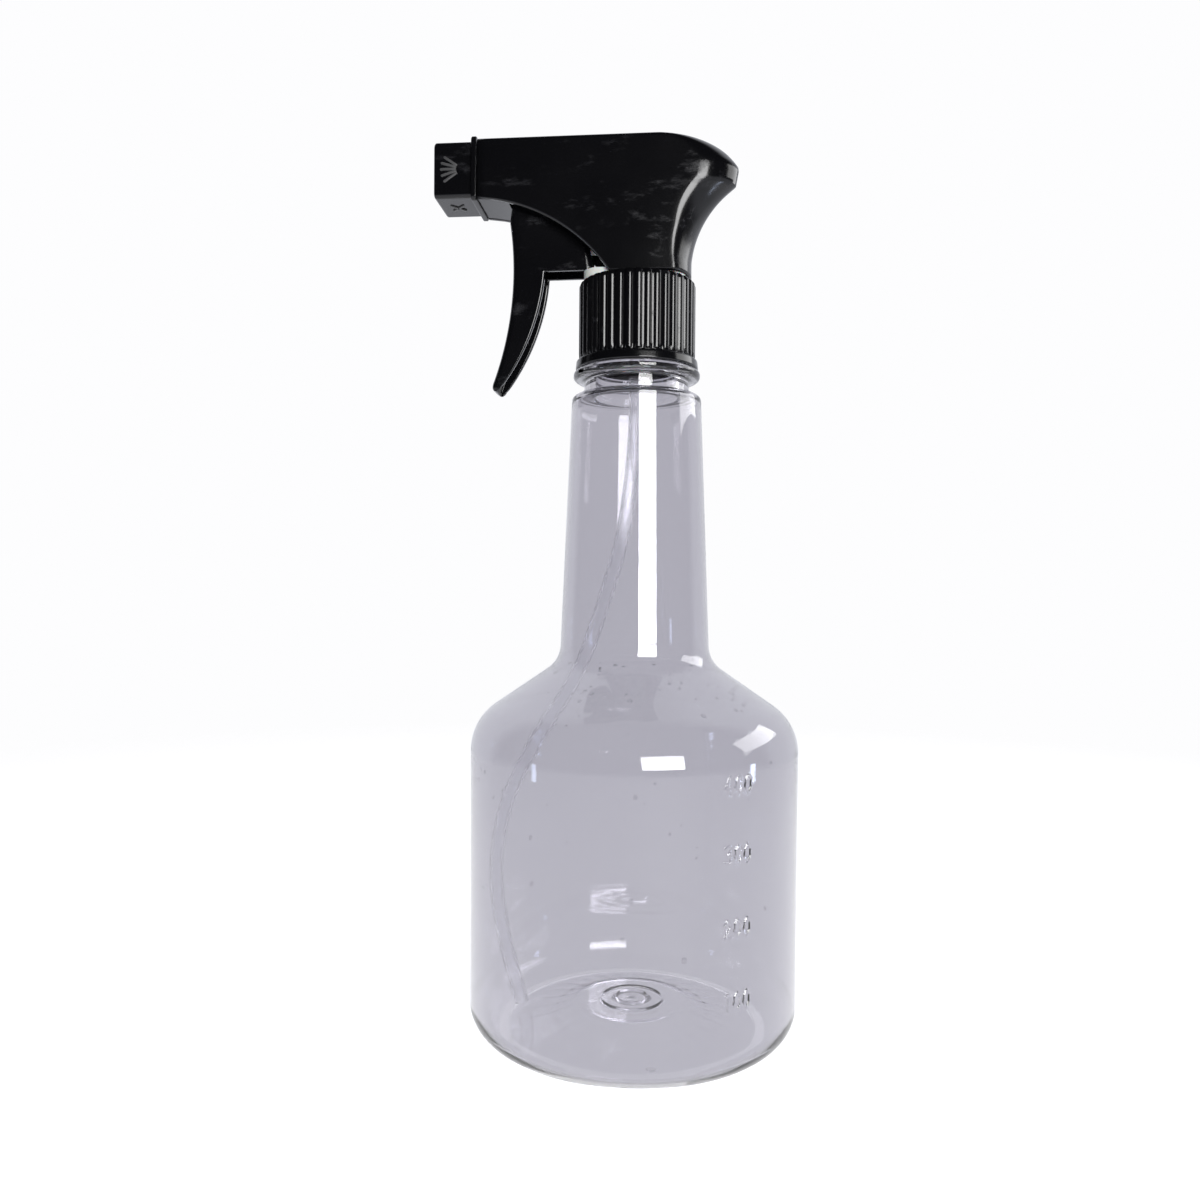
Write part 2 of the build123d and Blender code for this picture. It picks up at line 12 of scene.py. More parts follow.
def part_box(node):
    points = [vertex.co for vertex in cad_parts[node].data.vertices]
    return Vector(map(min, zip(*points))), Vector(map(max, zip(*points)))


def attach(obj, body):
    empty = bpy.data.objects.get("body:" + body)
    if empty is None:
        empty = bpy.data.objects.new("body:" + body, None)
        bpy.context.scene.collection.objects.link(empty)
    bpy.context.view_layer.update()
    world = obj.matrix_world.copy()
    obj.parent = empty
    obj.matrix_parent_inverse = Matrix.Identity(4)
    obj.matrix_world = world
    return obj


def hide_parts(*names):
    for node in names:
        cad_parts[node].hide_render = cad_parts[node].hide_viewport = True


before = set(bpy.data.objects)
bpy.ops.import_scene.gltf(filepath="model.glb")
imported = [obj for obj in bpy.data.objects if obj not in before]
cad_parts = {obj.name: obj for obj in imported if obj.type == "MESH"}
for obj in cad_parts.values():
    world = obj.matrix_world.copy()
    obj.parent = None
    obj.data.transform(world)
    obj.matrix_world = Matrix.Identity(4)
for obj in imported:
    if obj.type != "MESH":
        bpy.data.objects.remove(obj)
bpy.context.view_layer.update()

bl_info = {
    "name": "Spray bottle",
    "version": (1, 0, 0),
    "blender": (4, 5, 0),
    "location": "3D View > Sidebar > Spray bottle",
    "description": "Builds the looks of a clear spray bottle with a black trigger sprayer",
    "category": "Object",
}

MM = 0.001
BOTTLE_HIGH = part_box("bottle")[1]
COLLAR_LOW, COLLAR_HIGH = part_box("closure_collar")
SHROUD_LOW, SHROUD_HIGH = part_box("shroud")
TRIGGER_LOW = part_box("trigger")[0]
NOZZLE_LOW, NOZZLE_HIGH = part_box("nozzle_cap")
TUBE_LOW, TUBE_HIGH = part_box("dip_tube")
BARREL_Z = (NOZZLE_LOW.z + NOZZLE_HIGH.z) / 2
THREAD_PITCH = 4.2333 * MM
THREAD_TURNS = 1.25
THREAD_LOW = BOTTLE_HIGH.z - 3.4 * MM - THREAD_TURNS * THREAD_PITCH
# The hollow under the shroud's front is one arc through these (x, z) points, in mm.
ARCH = ((-6.6, 198), (-20, 210.8), (-41.9, 218.2))
# Edges that turn more than this stay sharp, and rows closer than this become one.
SHARP_EDGE = radians(35)
CLOSEST_ROWS = 0.03 * MM
BLACK, WHITE = (0.0, 0.0, 0.0, 1.0), (1.0, 1.0, 1.0, 1.0)


# ---- settings that a user may change -----------------------------------------


def length(name, description, default):
    """A length property in metres with a millimetre-sized default."""
    return FloatProperty(
        name=name, description=description, default=default, unit="LENGTH", precision=5
    )


def colour(name, description, default):
    """A colour property from an sRGB hex value."""
    return FloatVectorProperty(
        name=name, description=description, default=linear(default),
        size=4, subtype="COLOR", min=0, max=1,
    )


def linear(hex_value):
    """Turns an sRGB hex colour into the linear colour that shaders take."""
    parts = np.array([int(hex_value[i : i + 2], 16) for i in (1, 3, 5)]) / 255
    low = parts / 12.92
    high = ((parts + 0.055) / 1.055) ** 2.4
    return (*np.where(parts <= 0.04045, low, high).tolist(), 1.0)


class BottleSettings(bpy.types.PropertyGroup):
    body_radius: length("Body radius", "Outside radius of the round body", BOTTLE_HIGH.x)
    wall: length("Wall", "Thickness of the blown wall", 0.7 * MM)
    heel_radius: length("Heel radius", "Rounding between the side and the base", 8 * MM)
    shoulder_z: length(
        "Shoulder corner", "Height where the side and shoulder lines meet", 80.9 * MM
    )
    shoulder_slope: FloatProperty(
        name="Shoulder slope",
        description="Slope of the shoulder above level",
        default=radians(34.4),
        subtype="ANGLE",
    )
    neck_base_radius: length(
        "Neck radius at the shoulder", "Outside radius at the neck's foot", 19.85 * MM
    )
    neck_top_radius: length(
        "Neck radius at the top", "Outside radius under the support ring", 17.1 * MM
    )
    neck_top_z: length("Neck top", "Height of the top of the blown neck", 167 * MM)
    figure_height: length("Figure height", "Height of the raised volume figures", 4.4 * MM)
    figure_relief: length("Figure relief", "How far the volume figures stand out", 0.35 * MM)
    base_ribs: IntProperty(
        name="Base ribs", description="Radial ribs round the push-up", default=26, min=3
    )


class SprayerSettings(bpy.types.PropertyGroup):
    shell: length("Shell", "Wall thickness of the shroud", 1.3 * MM)
    rear_round: length("Rear round", "Depth of the shroud's rear round near its foot", 5.2 * MM)
    trigger_wall: length("Trigger wall", "Wall thickness of the trigger", 1.2 * MM)
    rib_count: IntProperty(
        name="Collar ribs", description="Number of grip ribs", default=38, min=6
    )
    rib_width: length("Rib width", "Width of one grip rib", 1.3 * MM)
    rib_height: length("Rib height", "Height of one grip rib", 0.5 * MM)


class FinishSettings(bpy.types.PropertyGroup):
    black: colour("Black plastic", "Colour of the shroud, trigger, nozzle and collar", "#08080A")
    # The bottle tint is partly the plastic's own faint cool tint and partly painted shade, dimming
    # what shows through the bottle as a greyer backdrop would.
    bottle_tint: colour("Bottle tint", "Tint of the clear bottle", "#F0EFF4")
    tube_tint: colour("Tube tint", "Tint of the dip tube", "#F7F7F9")
    natural: colour("Natural plastic", "Colour of the uncoloured inner parts", "#D9DBD6")
    floor: colour("Floor", "Colour of the studio floor", "#DCDCDF")


# ---- mesh code ---------------------------------------------------------------


def joined(grids):
    """Stacks (points, faces) pairs into one pair, moving each pair's face numbers up."""
    offset = 0
    points, faces = [], []
    for grid_points, grid_faces in grids:
        points.append(grid_points)
        faces.append(grid_faces + offset)
        offset += len(grid_points)
    return np.concatenate(points), np.concatenate(faces)


def grid(points, wrap_rows=False, wrap_columns=False):
    """Points of shape (rows, columns, 3) and the quads between neighbouring points,
    going round from last to first where a direction wraps."""
    rows, columns = points.shape[:2]
    row = np.arange(rows if wrap_rows else rows - 1)[:, None]
    column = np.arange(columns if wrap_columns else columns - 1)[None, :]
    next_row = (row + 1) % rows
    next_column = (column + 1) % columns
    corners = [
        row * columns + column,
        row * columns + next_column,
        next_row * columns + next_column,
        next_row * columns + column,
    ]
    faces = np.stack(corners, -1).reshape(-1, 4)
    return points.reshape(-1, 3), faces


def new_object(name, shape, material):
    """Makes a mesh object from (points, faces), closes its seams and poles by merging
    points that coincide, and turns its faces outwards."""
    points, faces = shape
    mesh = bpy.data.meshes.new(name)
    mesh.vertices.add(len(points))
    mesh.vertices.foreach_set("co", points.astype(np.float32).ravel())
    mesh.loops.add(faces.size)
    mesh.loops.foreach_set("vertex_index", faces.astype(np.int32).ravel())
    mesh.polygons.add(len(faces))
    mesh.polygons.foreach_set("loop_start", np.arange(0, faces.size, 4, dtype=np.int32))
    mesh.update(calc_edges=True)
    clean = bmesh.new()
    clean.from_mesh(mesh)
    bmesh.ops.remove_doubles(clean, verts=clean.verts, dist=2e-6)
    bmesh.ops.dissolve_degenerate(clean, edges=clean.edges, dist=1e-6)
    bmesh.ops.recalc_face_normals(clean, faces=clean.faces)
    clean.to_mesh(mesh)
    clean.free()
    mesh.shade_smooth()
    mesh.set_sharp_from_angle(angle=SHARP_EDGE)
    mesh.materials.append(material)
    made = bpy.data.objects.new(name, mesh)
    bpy.context.scene.collection.objects.link(made)
    return made


def new_piece(name, body, material, shape):
    """Makes a piece of the bottle and puts it on its CAD body."""
    piece = new_object(name, shape, material)
    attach(piece, body)
    return piece


def thicken(piece, thickness):
    """Gives an open shell its wall, grown inwards from the drawn surface."""
    wall = piece.modifiers.new("Wall", "SOLIDIFY")
    wall.thickness, wall.offset, wall.use_even_offset = thickness, -1, True


def unit(vector):
    """The vector scaled to a length of 1."""
    return vector / np.linalg.norm(vector)


def filleted_path(corners, radii, turn_step=7.5):
    """Straight runs between 2-D corners, each inner corner replaced by the arc of its
    radius that is tangent to both runs. A radius of 0 keeps the corner."""
    corners = [np.asarray(corner, float) for corner in corners]
    pieces = [corners[0][None]]
    for before, corner, after, radius in zip(corners, corners[1:], corners[2:], radii):
        back, ahead = unit(before - corner), unit(after - corner)
        turn = pi - np.arccos(np.clip(back @ ahead, -1, 1))
        if radius <= 0 or turn < 1e-4:
            pieces.append(corner[None])
            continue
        reach = radius * np.tan(turn / 2)
        centre = corner + unit(back + ahead) * radius / np.cos(turn / 2)
        first = corner + back * reach - centre
        last = corner + ahead * reach - centre
        share = np.linspace(0, 1, max(3, int(np.degrees(turn) / turn_step) + 2))[:, None]
        arc = (np.sin((1 - share) * turn) * first + np.sin(share * turn) * last) / np.sin(turn)
        pieces.append(centre + arc)
    pieces.append(corners[-1][None])
    return np.concatenate(pieces)


def run_lengths(path):
    """Distance along a polyline to each of its points."""
    steps = np.linalg.norm(np.diff(path, axis=0), axis=1)
    return np.concatenate([[0.0], np.cumsum(steps)])


def divided(path, spacing, extra=()):
    """A polyline with points added every spacing and at the extra distances."""
    along = run_lengths(path)
    ticks = np.concatenate([along, np.arange(0, along[-1], spacing), np.asarray(extra, float)])
    ticks = np.unique(np.clip(ticks, 0, along[-1]))
    keep = np.concatenate([[True], np.diff(ticks) > CLOSEST_ROWS])
    ticks = ticks[keep]
    return np.stack([np.interp(ticks, along, path[:, i]) for i in range(path.shape[1])], -1)


def arc_through(first, middle, last, heights):
    """x at each height on the circle through three (x, z) points, on the middle's side."""
    (ax, az), (bx, bz), (cx, cz) = first, middle, last
    double = 2 * (ax * (bz - cz) + bx * (cz - az) + cx * (az - bz))
    a2, b2, c2 = ax**2 + az**2, bx**2 + bz**2, cx**2 + cz**2
    centre_x = (a2 * (bz - cz) + b2 * (cz - az) + c2 * (az - bz)) / double
    centre_z = (a2 * (cx - bx) + b2 * (ax - cx) + c2 * (bx - ax)) / double
    radius = np.hypot(ax - centre_x, az - centre_z)
    reach = np.sqrt(np.maximum(radius**2 - (np.asarray(heights) - centre_z) ** 2, 0))
    return centre_x + np.sign(bx - centre_x) * reach


def smooth_step(low, high, value):
    """Rises smoothly from 0 at low to 1 at high."""
    share = np.clip((value - low) / (high - low), 0, 1)
    return share * share * (3 - 2 * share)


def lathe(profile, angles):
    """Carries (radius, z) points round +Z: x = r cos a, y = r sin a."""
    radius, height = profile[:, 0][:, None], profile[:, 1][:, None]
    spread = np.ones_like(angles)[None, :]
    return np.stack([radius * np.cos(angles), radius * np.sin(angles), height * spread], -1)


def push_out(points, amount):
    """Moves points away from the Z axis by an amount each."""
    radius = np.maximum(np.linalg.norm(points[..., :2], axis=-1, keepdims=True), 1e-9)
    moved = points.copy()
    moved[..., :2] += points[..., :2] / radius * amount[..., None]
    return moved


def thread_ridge(points, start_z, turns, depth):
    """Height of a right-handed thread of trapezoid section at each point. The ridge's
    middle climbs one pitch a turn from start_z at angle 0, and its ends fade out."""
    angle = np.mod(np.arctan2(points[..., 1], points[..., 0]), 2 * pi) / (2 * pi)
    rise = (points[..., 2] - start_z) / THREAD_PITCH
    turn = np.clip(np.round(rise - angle), 0, np.floor(turns)) + angle
    offset = np.abs(rise - turn) * THREAD_PITCH
    ridge = np.clip((1.1 * MM - offset) / (0.6 * MM), 0, 1)
    ends = smooth_step(0, 0.04, turn) * smooth_step(0, 0.04, turns - turn)
    return depth * ridge * np.where(turn <= turns, ends, 0)


def rounded_square(angles, half, corner):
    """Distance from the centre to a square of that half side with rounded corners, along
    each angle. A corner radius equal to the half side gives a circle."""
    folded = np.abs(np.mod(angles + pi / 4, pi / 2) - pi / 4)
    inset = half - corner
    total = np.cos(folded) + np.sin(folded)
    root = np.sqrt(np.maximum(inset**2 * total**2 - 2 * inset**2 + corner**2, 0))
    on_side = half * np.tan(folded) <= inset
    return np.where(on_side, half / np.cos(folded), inset * total + root)


def slab(outline, low, high, edge):
    """A plate with a flat outline of (u, v) points and rounded edges: the outline is drawn
    in towards its middle by edge at both faces. Returns (u, v, w) points and quads."""
    middle = outline.mean(0)
    size = np.abs(outline - middle).max()
    swing = np.linspace(0, pi / 2, 4)
    falling, growing = edge * (1 - np.sin(swing)), edge * (1 - np.cos(swing))
    inset = np.concatenate([[size], falling, growing, [size]])
    level = np.concatenate([[low], low + growing, high - falling, [high]])
    share = np.clip(1 - inset / size, 0, 1)[:, None, None]
    flat = middle + (outline - middle)[None] * share
    height = np.broadcast_to(level[:, None, None], flat.shape[:2] + (1,))
    return grid(np.concatenate([flat, height], -1), wrap_columns=True)


def stadium(start, end, half_width, steps=7):
    """Outline of a bar with round ends from start to end."""
    start, end = np.asarray(start, float), np.asarray(end, float)
    along = unit(end - start)
    across = np.array([-along[1], along[0]])
    swing = np.linspace(-pi / 2, pi / 2, steps)[:, None]
    tip = end + half_width * (np.cos(swing) * along + np.sin(swing) * across)
    foot = start - half_width * (np.cos(swing) * along + np.sin(swing) * across)
    return np.concatenate([tip, foot])


def rectangle(low, high, corner):
    """Outline of a rectangle with rounded corners."""
    (x0, y0), (x1, y1) = low, high
    corners = [((x0 + x1) / 2, y0), (x1, y0), (x1, y1), (x0, y1), (x0, y0), ((x0 + x1) / 2, y0)]
    return filleted_path(corners, [corner] * 4, turn_step=22.5)[:-1]


# ---- the bottle --------------------------------------------------------------

# Strokes of each figure, as (across, up) in a cell that is 1 wide and 1.95 high.
SEGMENTS = {
    "0": [
        (0.5, 1.6), (0.15, 1.25), (0.1, 0.75), (0.5, 0.3), (0.9, 0.75), (0.85, 1.25), (0.5, 1.6),
    ],
    "1": [(0.3, 1.4), (0.6, 1.65), (0.6, 0.35)],
    "2": [(0.15, 1.3), (0.5, 1.6), (0.85, 1.2), (0.12, 0.35), (0.88, 0.35)],
    "3": [
        (0.15, 1.5), (0.6, 1.6), (0.8, 1.25), (0.5, 1.0), (0.85, 0.7), (0.55, 0.3), (0.12, 0.45),
    ],
    "4": [(0.7, 0.3), (0.7, 1.65), (0.12, 0.75), (0.9, 0.75)],
}
# Millilitres, and the height of each figure's middle in mm.
FIGURES = {100: 20.6, 200: 37.6, 300: 54.7, 400: 70.8}
FIGURE_ANGLE = radians(-51.5)
FIGURE_PITCH = 2.9 * MM
FIGURE_WIDTH = 2.3 * MM
STROKE_CREST, STROKE_FOOT = 0.16 * MM, 0.42 * MM
COLUMN_STEP = radians(2.5)


def figure_relief(points, settings):
    """Raised volume figures: 1 within a stroke's half width of a figure's centre line and
    0 beyond it, with a soft edge. u runs round the body and v up it."""
    radius = settings.body_radius
    around = np.arctan2(points[..., 1], points[..., 0]) - FIGURE_ANGLE
    u = around * radius
    v = points[..., 2]
    relief = np.zeros(u.shape)
    digit_size = [FIGURE_WIDTH, settings.figure_height / 1.35]
    window_u, window_v = 8 * MM, 4 * MM
    for volume, height in FIGURES.items():
        for place, digit in enumerate(str(volume)):
            left = (place - 1.5) * FIGURE_PITCH
            stroke = (np.array(SEGMENTS[digit]) - [0, 0.975]) * digit_size + [left, height * MM]
            near = (np.abs(v - height * MM) < window_v) & (np.abs(u) < window_u)
            spot = np.stack([u[near], v[near]], -1)[:, None]
            start, end = stroke[None, :-1], stroke[None, 1:]
            run = end - start
            share = np.clip(((spot - start) * run).sum(-1) / (run**2).sum(-1), 0, 1)
            gap = np.linalg.norm(spot - start - share[..., None] * run, axis=-1).min(1)
            raised = 1 - smooth_step(STROKE_CREST, STROKE_FOOT, gap)
            relief[near] = np.maximum(relief[near], raised)
    return relief * settings.figure_relief


def bottle_side(settings, inset):
    """Corners and fillets of the shoulder and neck, moved in by inset along their normals."""
    slope = settings.shoulder_slope
    corner_r = settings.body_radius - inset
    corner_z = settings.shoulder_z + inset * np.tan(slope) - inset / np.cos(slope)
    base_r = settings.neck_base_radius - inset
    base_z = corner_z + (corner_r - base_r) * np.tan(slope)
    corners = [(corner_r, corner_z), (base_r, base_z)]
    corners += [(settings.neck_top_radius - inset, settings.neck_top_z - inset)]
    return corners, [14 * MM - inset, 8 * MM + inset, 1.6 * MM]


def bottle_profile(settings):
    """The closed half section: outside from the axis up to the rim, then inside back down."""
    wall, neck_top = settings.wall, settings.neck_top_z
    rim = BOTTLE_HIGH.z
    ring_low, ring_high = neck_top + 4 * MM, neck_top + 6.5 * MM
    stand = settings.body_radius - settings.heel_radius
    rise, push_up, foot = 5.2 * MM, 20 * MM, stand - 2.6 * MM
    groove, ring, finish, bore = 13.9 * MM, 16.8 * MM, 12.5 * MM, 10.9 * MM
    sides, fillets = bottle_side(settings, 0.0)
    outer = [(0, rise), (0.7 * push_up, rise), (push_up, 0.55 * rise), (foot, 0)]
    outer += [(settings.body_radius, 0), *sides, (groove, neck_top), (groove, ring_low)]
    outer += [(ring, ring_low), (ring, ring_high), (finish, ring_high), (finish, rim), (bore, rim)]
    radii = [5 * MM, 3 * MM, 1.5 * MM, settings.heel_radius, *fillets]
    radii += [0.6 * MM, 0.8 * MM, 1.1 * MM, 1.1 * MM, 0.4 * MM, 0.5 * MM]
    thick = 1.2 * MM
    sides, fillets = bottle_side(settings, wall)
    inner = [(0, rise + thick), (0.7 * push_up, rise + thick), (push_up, 0.55 * rise + thick)]
    inner += [(foot, thick), (settings.body_radius - wall, thick), *sides]
    inner += [(bore, neck_top - wall), (bore, rim)]
    inner_radii = [*radii[:3], settings.heel_radius - wall, *fillets, 0.8 * MM]
    return filleted_path(outer, radii), filleted_path(inner, inner_radii)


def along_climb(path, heights, values):
    """The values given at a path's points, read where its last, climbing stretch passes
    each height. Heights are made to grow all the way by a hair a point."""
    climb = np.maximum.accumulate(path[:, 1]) + np.arange(len(path)) * 1e-9
    return np.interp(heights, climb, values)


def base_relief(points, settings):
    """Height added to the base: the gate's dot and two rings, each a bell curve given by
    (height, radius, width) in mm, and radial ribs round the push-up."""
    radius = np.linalg.norm(points[..., :2], axis=-1)
    angle = np.arctan2(points[..., 1], points[..., 0])
    bells = [(0.7, 4.3, 0.6), (0.5, 0.0, 1.3), (0.4, 8.0, 0.8)]
    ring = sum(
        high * MM * np.exp(-(((radius - at * MM) / (wide * MM)) ** 2)) for high, at, wide in bells
    )
    window = smooth_step(18 * MM, 20 * MM, radius) * (1 - smooth_step(24 * MM, 26.5 * MM, radius))
    wave = np.clip(np.cos(settings.base_ribs * angle) * 1.6, -0.2, 1)
    low = points[..., 2] < 9 * MM
    return np.where(low, ring + 0.07 * MM * window * wave, 0)


def bottle_shape(settings):
    """The closed half section carried round +Z, with closer rows and columns where the
    figures, the thread and the gate's rings are pushed out of it."""
    outside, inside = bottle_profile(settings)
    figure_rows = np.add.outer(list(FIGURES.values()), np.arange(-2.9, 2.95, 0.22)).ravel() * MM
    thread_rows = np.arange(THREAD_LOW - 2 * MM, BOTTLE_HIGH.z - 1.2 * MM, 0.25 * MM)
    extra = along_climb(outside, np.concatenate([figure_rows, thread_rows]), run_lengths(outside))
    span = 6.4 * MM / settings.body_radius
    fine = np.linspace(FIGURE_ANGLE - span, FIGURE_ANGLE + span, 58)
    coarse = np.arange(-pi, pi, COLUMN_STEP)
    coarse = coarse[np.abs(coarse - FIGURE_ANGLE) > span + radians(0.8)]
    angles = np.sort(np.concatenate([coarse, fine]))
    gate = np.arange(0, 10, 0.3) * MM
    outer = lathe(divided(outside, 3 * MM, np.concatenate([extra, gate])), angles)
    on_finish = outer[..., 2] > settings.neck_top_z + 7 * MM
    thread = thread_ridge(outer, THREAD_LOW, THREAD_TURNS, 1.1 * MM)
    outer = push_out(outer, figure_relief(outer, settings) + np.where(on_finish, thread, 0))
    outer[..., 2] += 0.6 * base_relief(outer, settings)
    inner = lathe(divided(inside, 4 * MM, gate)[::-1], angles)
    inner[..., 2] += base_relief(inner, settings)
    return grid(np.concatenate([outer, inner]), wrap_columns=True)


def bead_shapes(settings):
    """Water beads on the inner wall: each is a small ball, drawn flat along the wall's
    normal, at a random angle and height on the shoulder or the side. One larger bead
    rests on the floor near the front."""
    random = np.random.default_rng(41)
    count, squash, sink = 100, 0.45, 0.30
    side_span, shoulder_span = (22, 74), (83, 95)
    on_side = random.random(count) < 0.4
    on_side_z, on_shoulder_z = (random.uniform(*span, count) for span in (side_span, shoulder_span))
    height = np.where(on_side, on_side_z, on_shoulder_z) * MM
    angle = random.uniform(-pi, pi, count)
    size = random.uniform(0.22, 0.5, count) ** 1.5 * 2.0 * MM
    inside = bottle_profile(settings)[1]
    radius = along_climb(inside, height, inside[:, 0])
    tilt = np.where(on_side, 0, pi / 2 - settings.shoulder_slope)
    height[0], radius[0], angle[0] = 1.9 * MM, 33 * MM, radians(-78)
    size[0], tilt[0] = 1.3 * MM, -pi / 2
    lift = np.linspace(-pi / 2, pi / 2, 7)[:, None]
    turn = np.linspace(0, 2 * pi, 10, endpoint=False)[None, :]
    level = np.cos(lift)
    ball = np.stack([level * np.cos(turn), level * np.sin(turn), np.sin(lift) + 0 * turn], -1)
    beads = []
    for a, z, r, grow, lean in zip(angle, height, radius, size, tilt):
        normal = np.array([cos(a) * cos(lean), sin(a) * cos(lean), sin(lean)])
        around = np.array([-sin(a), cos(a), 0])
        upward = np.cross(normal, around)
        centre = np.array([r * cos(a), r * sin(a), z]) - normal * grow * sink
        shape = ball[..., :1] * around + ball[..., 1:2] * upward * 1.1
        shape = shape + ball[..., 2:] * normal * squash
        beads.append(grid(centre + shape * grow, wrap_columns=True))
    return joined(beads)


class SPRAY_OT_bottle(bpy.types.Operator):
    """Makes the blown bottle with its screw thread, base and raised volume figures"""

    bl_idname = "spray.bottle"
    bl_label = "Bottle"

    def execute(self, context):
        scene = context.scene
        material = blown_clear_pet(scene.spray_finish)
        settings = scene.spray_bottle
        shape = bottle_shape(settings)
        piece = new_piece("clear_bottle", "bottle", material, shape)
        piece.visible_shadow = False
        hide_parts("bottle")
        shapes = bead_shapes(settings)
        beads = new_piece("water_beads", "bottle", clinging_water(), shapes)
        beads.visible_shadow = False
        return {"FINISHED"}


# ---- the collar --------------------------------------------------------------


def collar_shape(settings):
    """A closed half section carried round +Z, its outside pushed out into grip ribs of a
    rounded section and its inside pushed in into the screw thread."""
    bore, body, skirt, hole = 14.0 * MM, 14.95 * MM, 16.3 * MM, 8.6 * MM
    low, high = COLLAR_LOW.z, COLLAR_HIGH.z
    band, lid = low + 2.4 * MM, high - 3.3 * MM
    corners = [(bore, lid), (bore, low + 1.2 * MM), (skirt - 1.4 * MM, low), (skirt, low)]
    corners += [(skirt - 0.25 * MM, band), (body, band + 0.25 * MM), (body, high)]
    corners += [(hole, high), (hole, lid), (bore, lid)]
    radii = [MM * r for r in (0.3, 0.3, 0.5, 0.5, 0.3, 1.6, 0.3, 0)]
    path = filleted_path(corners, radii)
    rows = divided(path, 1.1 * MM, np.arange(0.6, 14.4, 0.3) * MM)
    columns = settings.rib_count * 12
    points = lathe(rows, np.arange(columns) * (2 * pi / columns))
    angle = np.arctan2(points[..., 1], points[..., 0])
    radius = np.linalg.norm(points[..., :2], axis=-1)
    turn = 2 * pi / settings.rib_count
    across = np.abs(np.mod(angle + turn / 2, turn) - turn / 2) * body
    half = settings.rib_width / 2
    crest = np.sqrt(np.clip(1 - (across / (half + 0.25 * MM)) ** 2, 0, 1))
    rise = smooth_step(band + 0.2 * MM, band + 0.9 * MM, points[..., 2])
    on_wall = smooth_step(body - 1.7 * MM, body - 0.3 * MM, radius) * rise
    ribs = settings.rib_height * crest * on_wall
    start = THREAD_LOW - THREAD_PITCH / 2
    inside = (radius < bore + 0.1 * MM) & (points[..., 2] < lid - 0.4 * MM)
    thread = np.where(inside, thread_ridge(points, start, THREAD_TURNS, 1.05 * MM), 0)
    return grid(push_out(points, ribs - thread), wrap_columns=True)


class SPRAY_OT_collar(bpy.types.Operator):
    """Makes the screw collar with its grip ribs and plain skirt"""

    bl_idname = "spray.collar"
    bl_label = "Collar"

    def execute(self, context):
        scene = context.scene
        material = moulded_black_polypropylene("collar", scene.spray_finish)
        shape = collar_shape(scene.spray_sprayer)
        piece = new_piece("ribbed_collar", "collar", material, shape)
        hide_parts("closure_collar")
        return {"FINISHED"}


# ---- the shroud and the trigger ----------------------------------------------


def slices(front, back, half, heights, corner, reach, side_steps, arc_steps, power=1.0):
    """Level slices of a shell that is open at the front: each slice runs from the front
    edge back along -Y, round two rear corners and forward along +Y. A corner is a quarter
    of an ellipse, corner long and reach wide, with sine and cosine raised to power."""
    share = np.linspace(0, 1, side_steps)
    swing = np.linspace(0, pi / 2, arc_steps)
    front, back, half, corner, reach = (
        np.asarray(v, float)[:, None] for v in (front, back, half, corner, reach)
    )
    side_x = front + (back - corner - front) * share
    side_y = np.broadcast_to(-half, side_x.shape)
    arc_x = back - corner + corner * np.sin(swing) ** power
    arc_y = -half + reach - reach * np.cos(swing).clip(0) ** power
    x = np.concatenate([side_x, arc_x[:, 1:], arc_x[:, ::-1][:, :-1], side_x[:, ::-1]], 1)
    y = np.concatenate([side_y, arc_y[:, 1:], -arc_y[:, ::-1][:, :-1], -side_y[:, ::-1]], 1)
    z = np.broadcast_to(np.asarray(heights, float)[:, None], x.shape)
    return np.stack([x, y, z], -1)


def shroud_rear(heights):
    """x of the shroud's back at each height: upright below, then the hollow curve under
    the overhang, a short straight and the round over the top."""
    z = np.asarray(heights) / MM
    hollow = arc_through((14.3, 202), (17.6, 212.7), (25.8, 221.9), np.clip(z, 202, 221.9))
    straight = 25.8 + (z - 221.9) * 0.8 / 4.5
    crown = arc_through((12, 233.6), (21.5, 231.5), (26.6, 226.4), np.clip(z, 226.4, 233.6))
    return np.select([z < 202, z < 221.9, z < 226.4], [14.3 + 0 * z, hollow, straight], crown) * MM


def shroud_shape(settings):
    """Level slices from the floor to the top edge, drawn in over the rounded top edge and
    closed along the middle. The rear round grows deeper from the foot to the overhang."""
    floor, top, edge = SHROUD_LOW.z, SHROUD_HIGH.z, 0.9 * MM
    arch_top = ARCH[2][1] * MM
    swing = np.linspace(0, pi / 2, 6)
    heights = np.concatenate([
        np.linspace(floor, arch_top - 3 * MM, 20),
        arch_top - 3 * MM * np.cos(np.linspace(0, pi / 2, 10))[1:],
        np.linspace(arch_top + 0.05 * MM, top - 3.2 * MM, 14),
        np.linspace(top - 2.9 * MM, top - edge, 8)[:-1],
        top - edge + edge * np.sin(swing),
    ])
    shrink = np.concatenate([np.zeros(len(heights) - 6), edge * (1 - np.cos(swing))])
    half = SHROUD_HIGH.y - shrink
    arch = arc_through(*ARCH, np.minimum(heights, arch_top) / MM) * MM
    front = np.where(heights < arch_top, arch, SHROUD_LOW.x + shrink)
    back = shroud_rear(heights)
    depth = np.interp(heights / MM, [200, 210, 222], [0.9, 1.2, 2.0]) * settings.rear_round
    points = slices(front, back, half, heights, depth, half, 26, 22, power=1.22)
    closing = points[-1].copy()
    closing[:, 1] = 0
    return grid(np.concatenate([points, closing[None]]))


# Height in mm where the trigger's slender grip ends and its side webs begin.
LEDGE = 199.8


def trigger_front(heights):
    """x of the trigger's pulled face at each height."""
    z = np.asarray(heights) / MM
    bow = arc_through((-33.9, 213), (-33.1, 194.5), (-38.3, 170), np.clip(z, 168, 213))
    return np.where(z > 213, -33.9 + (z - 213) * 0.12, bow) * MM


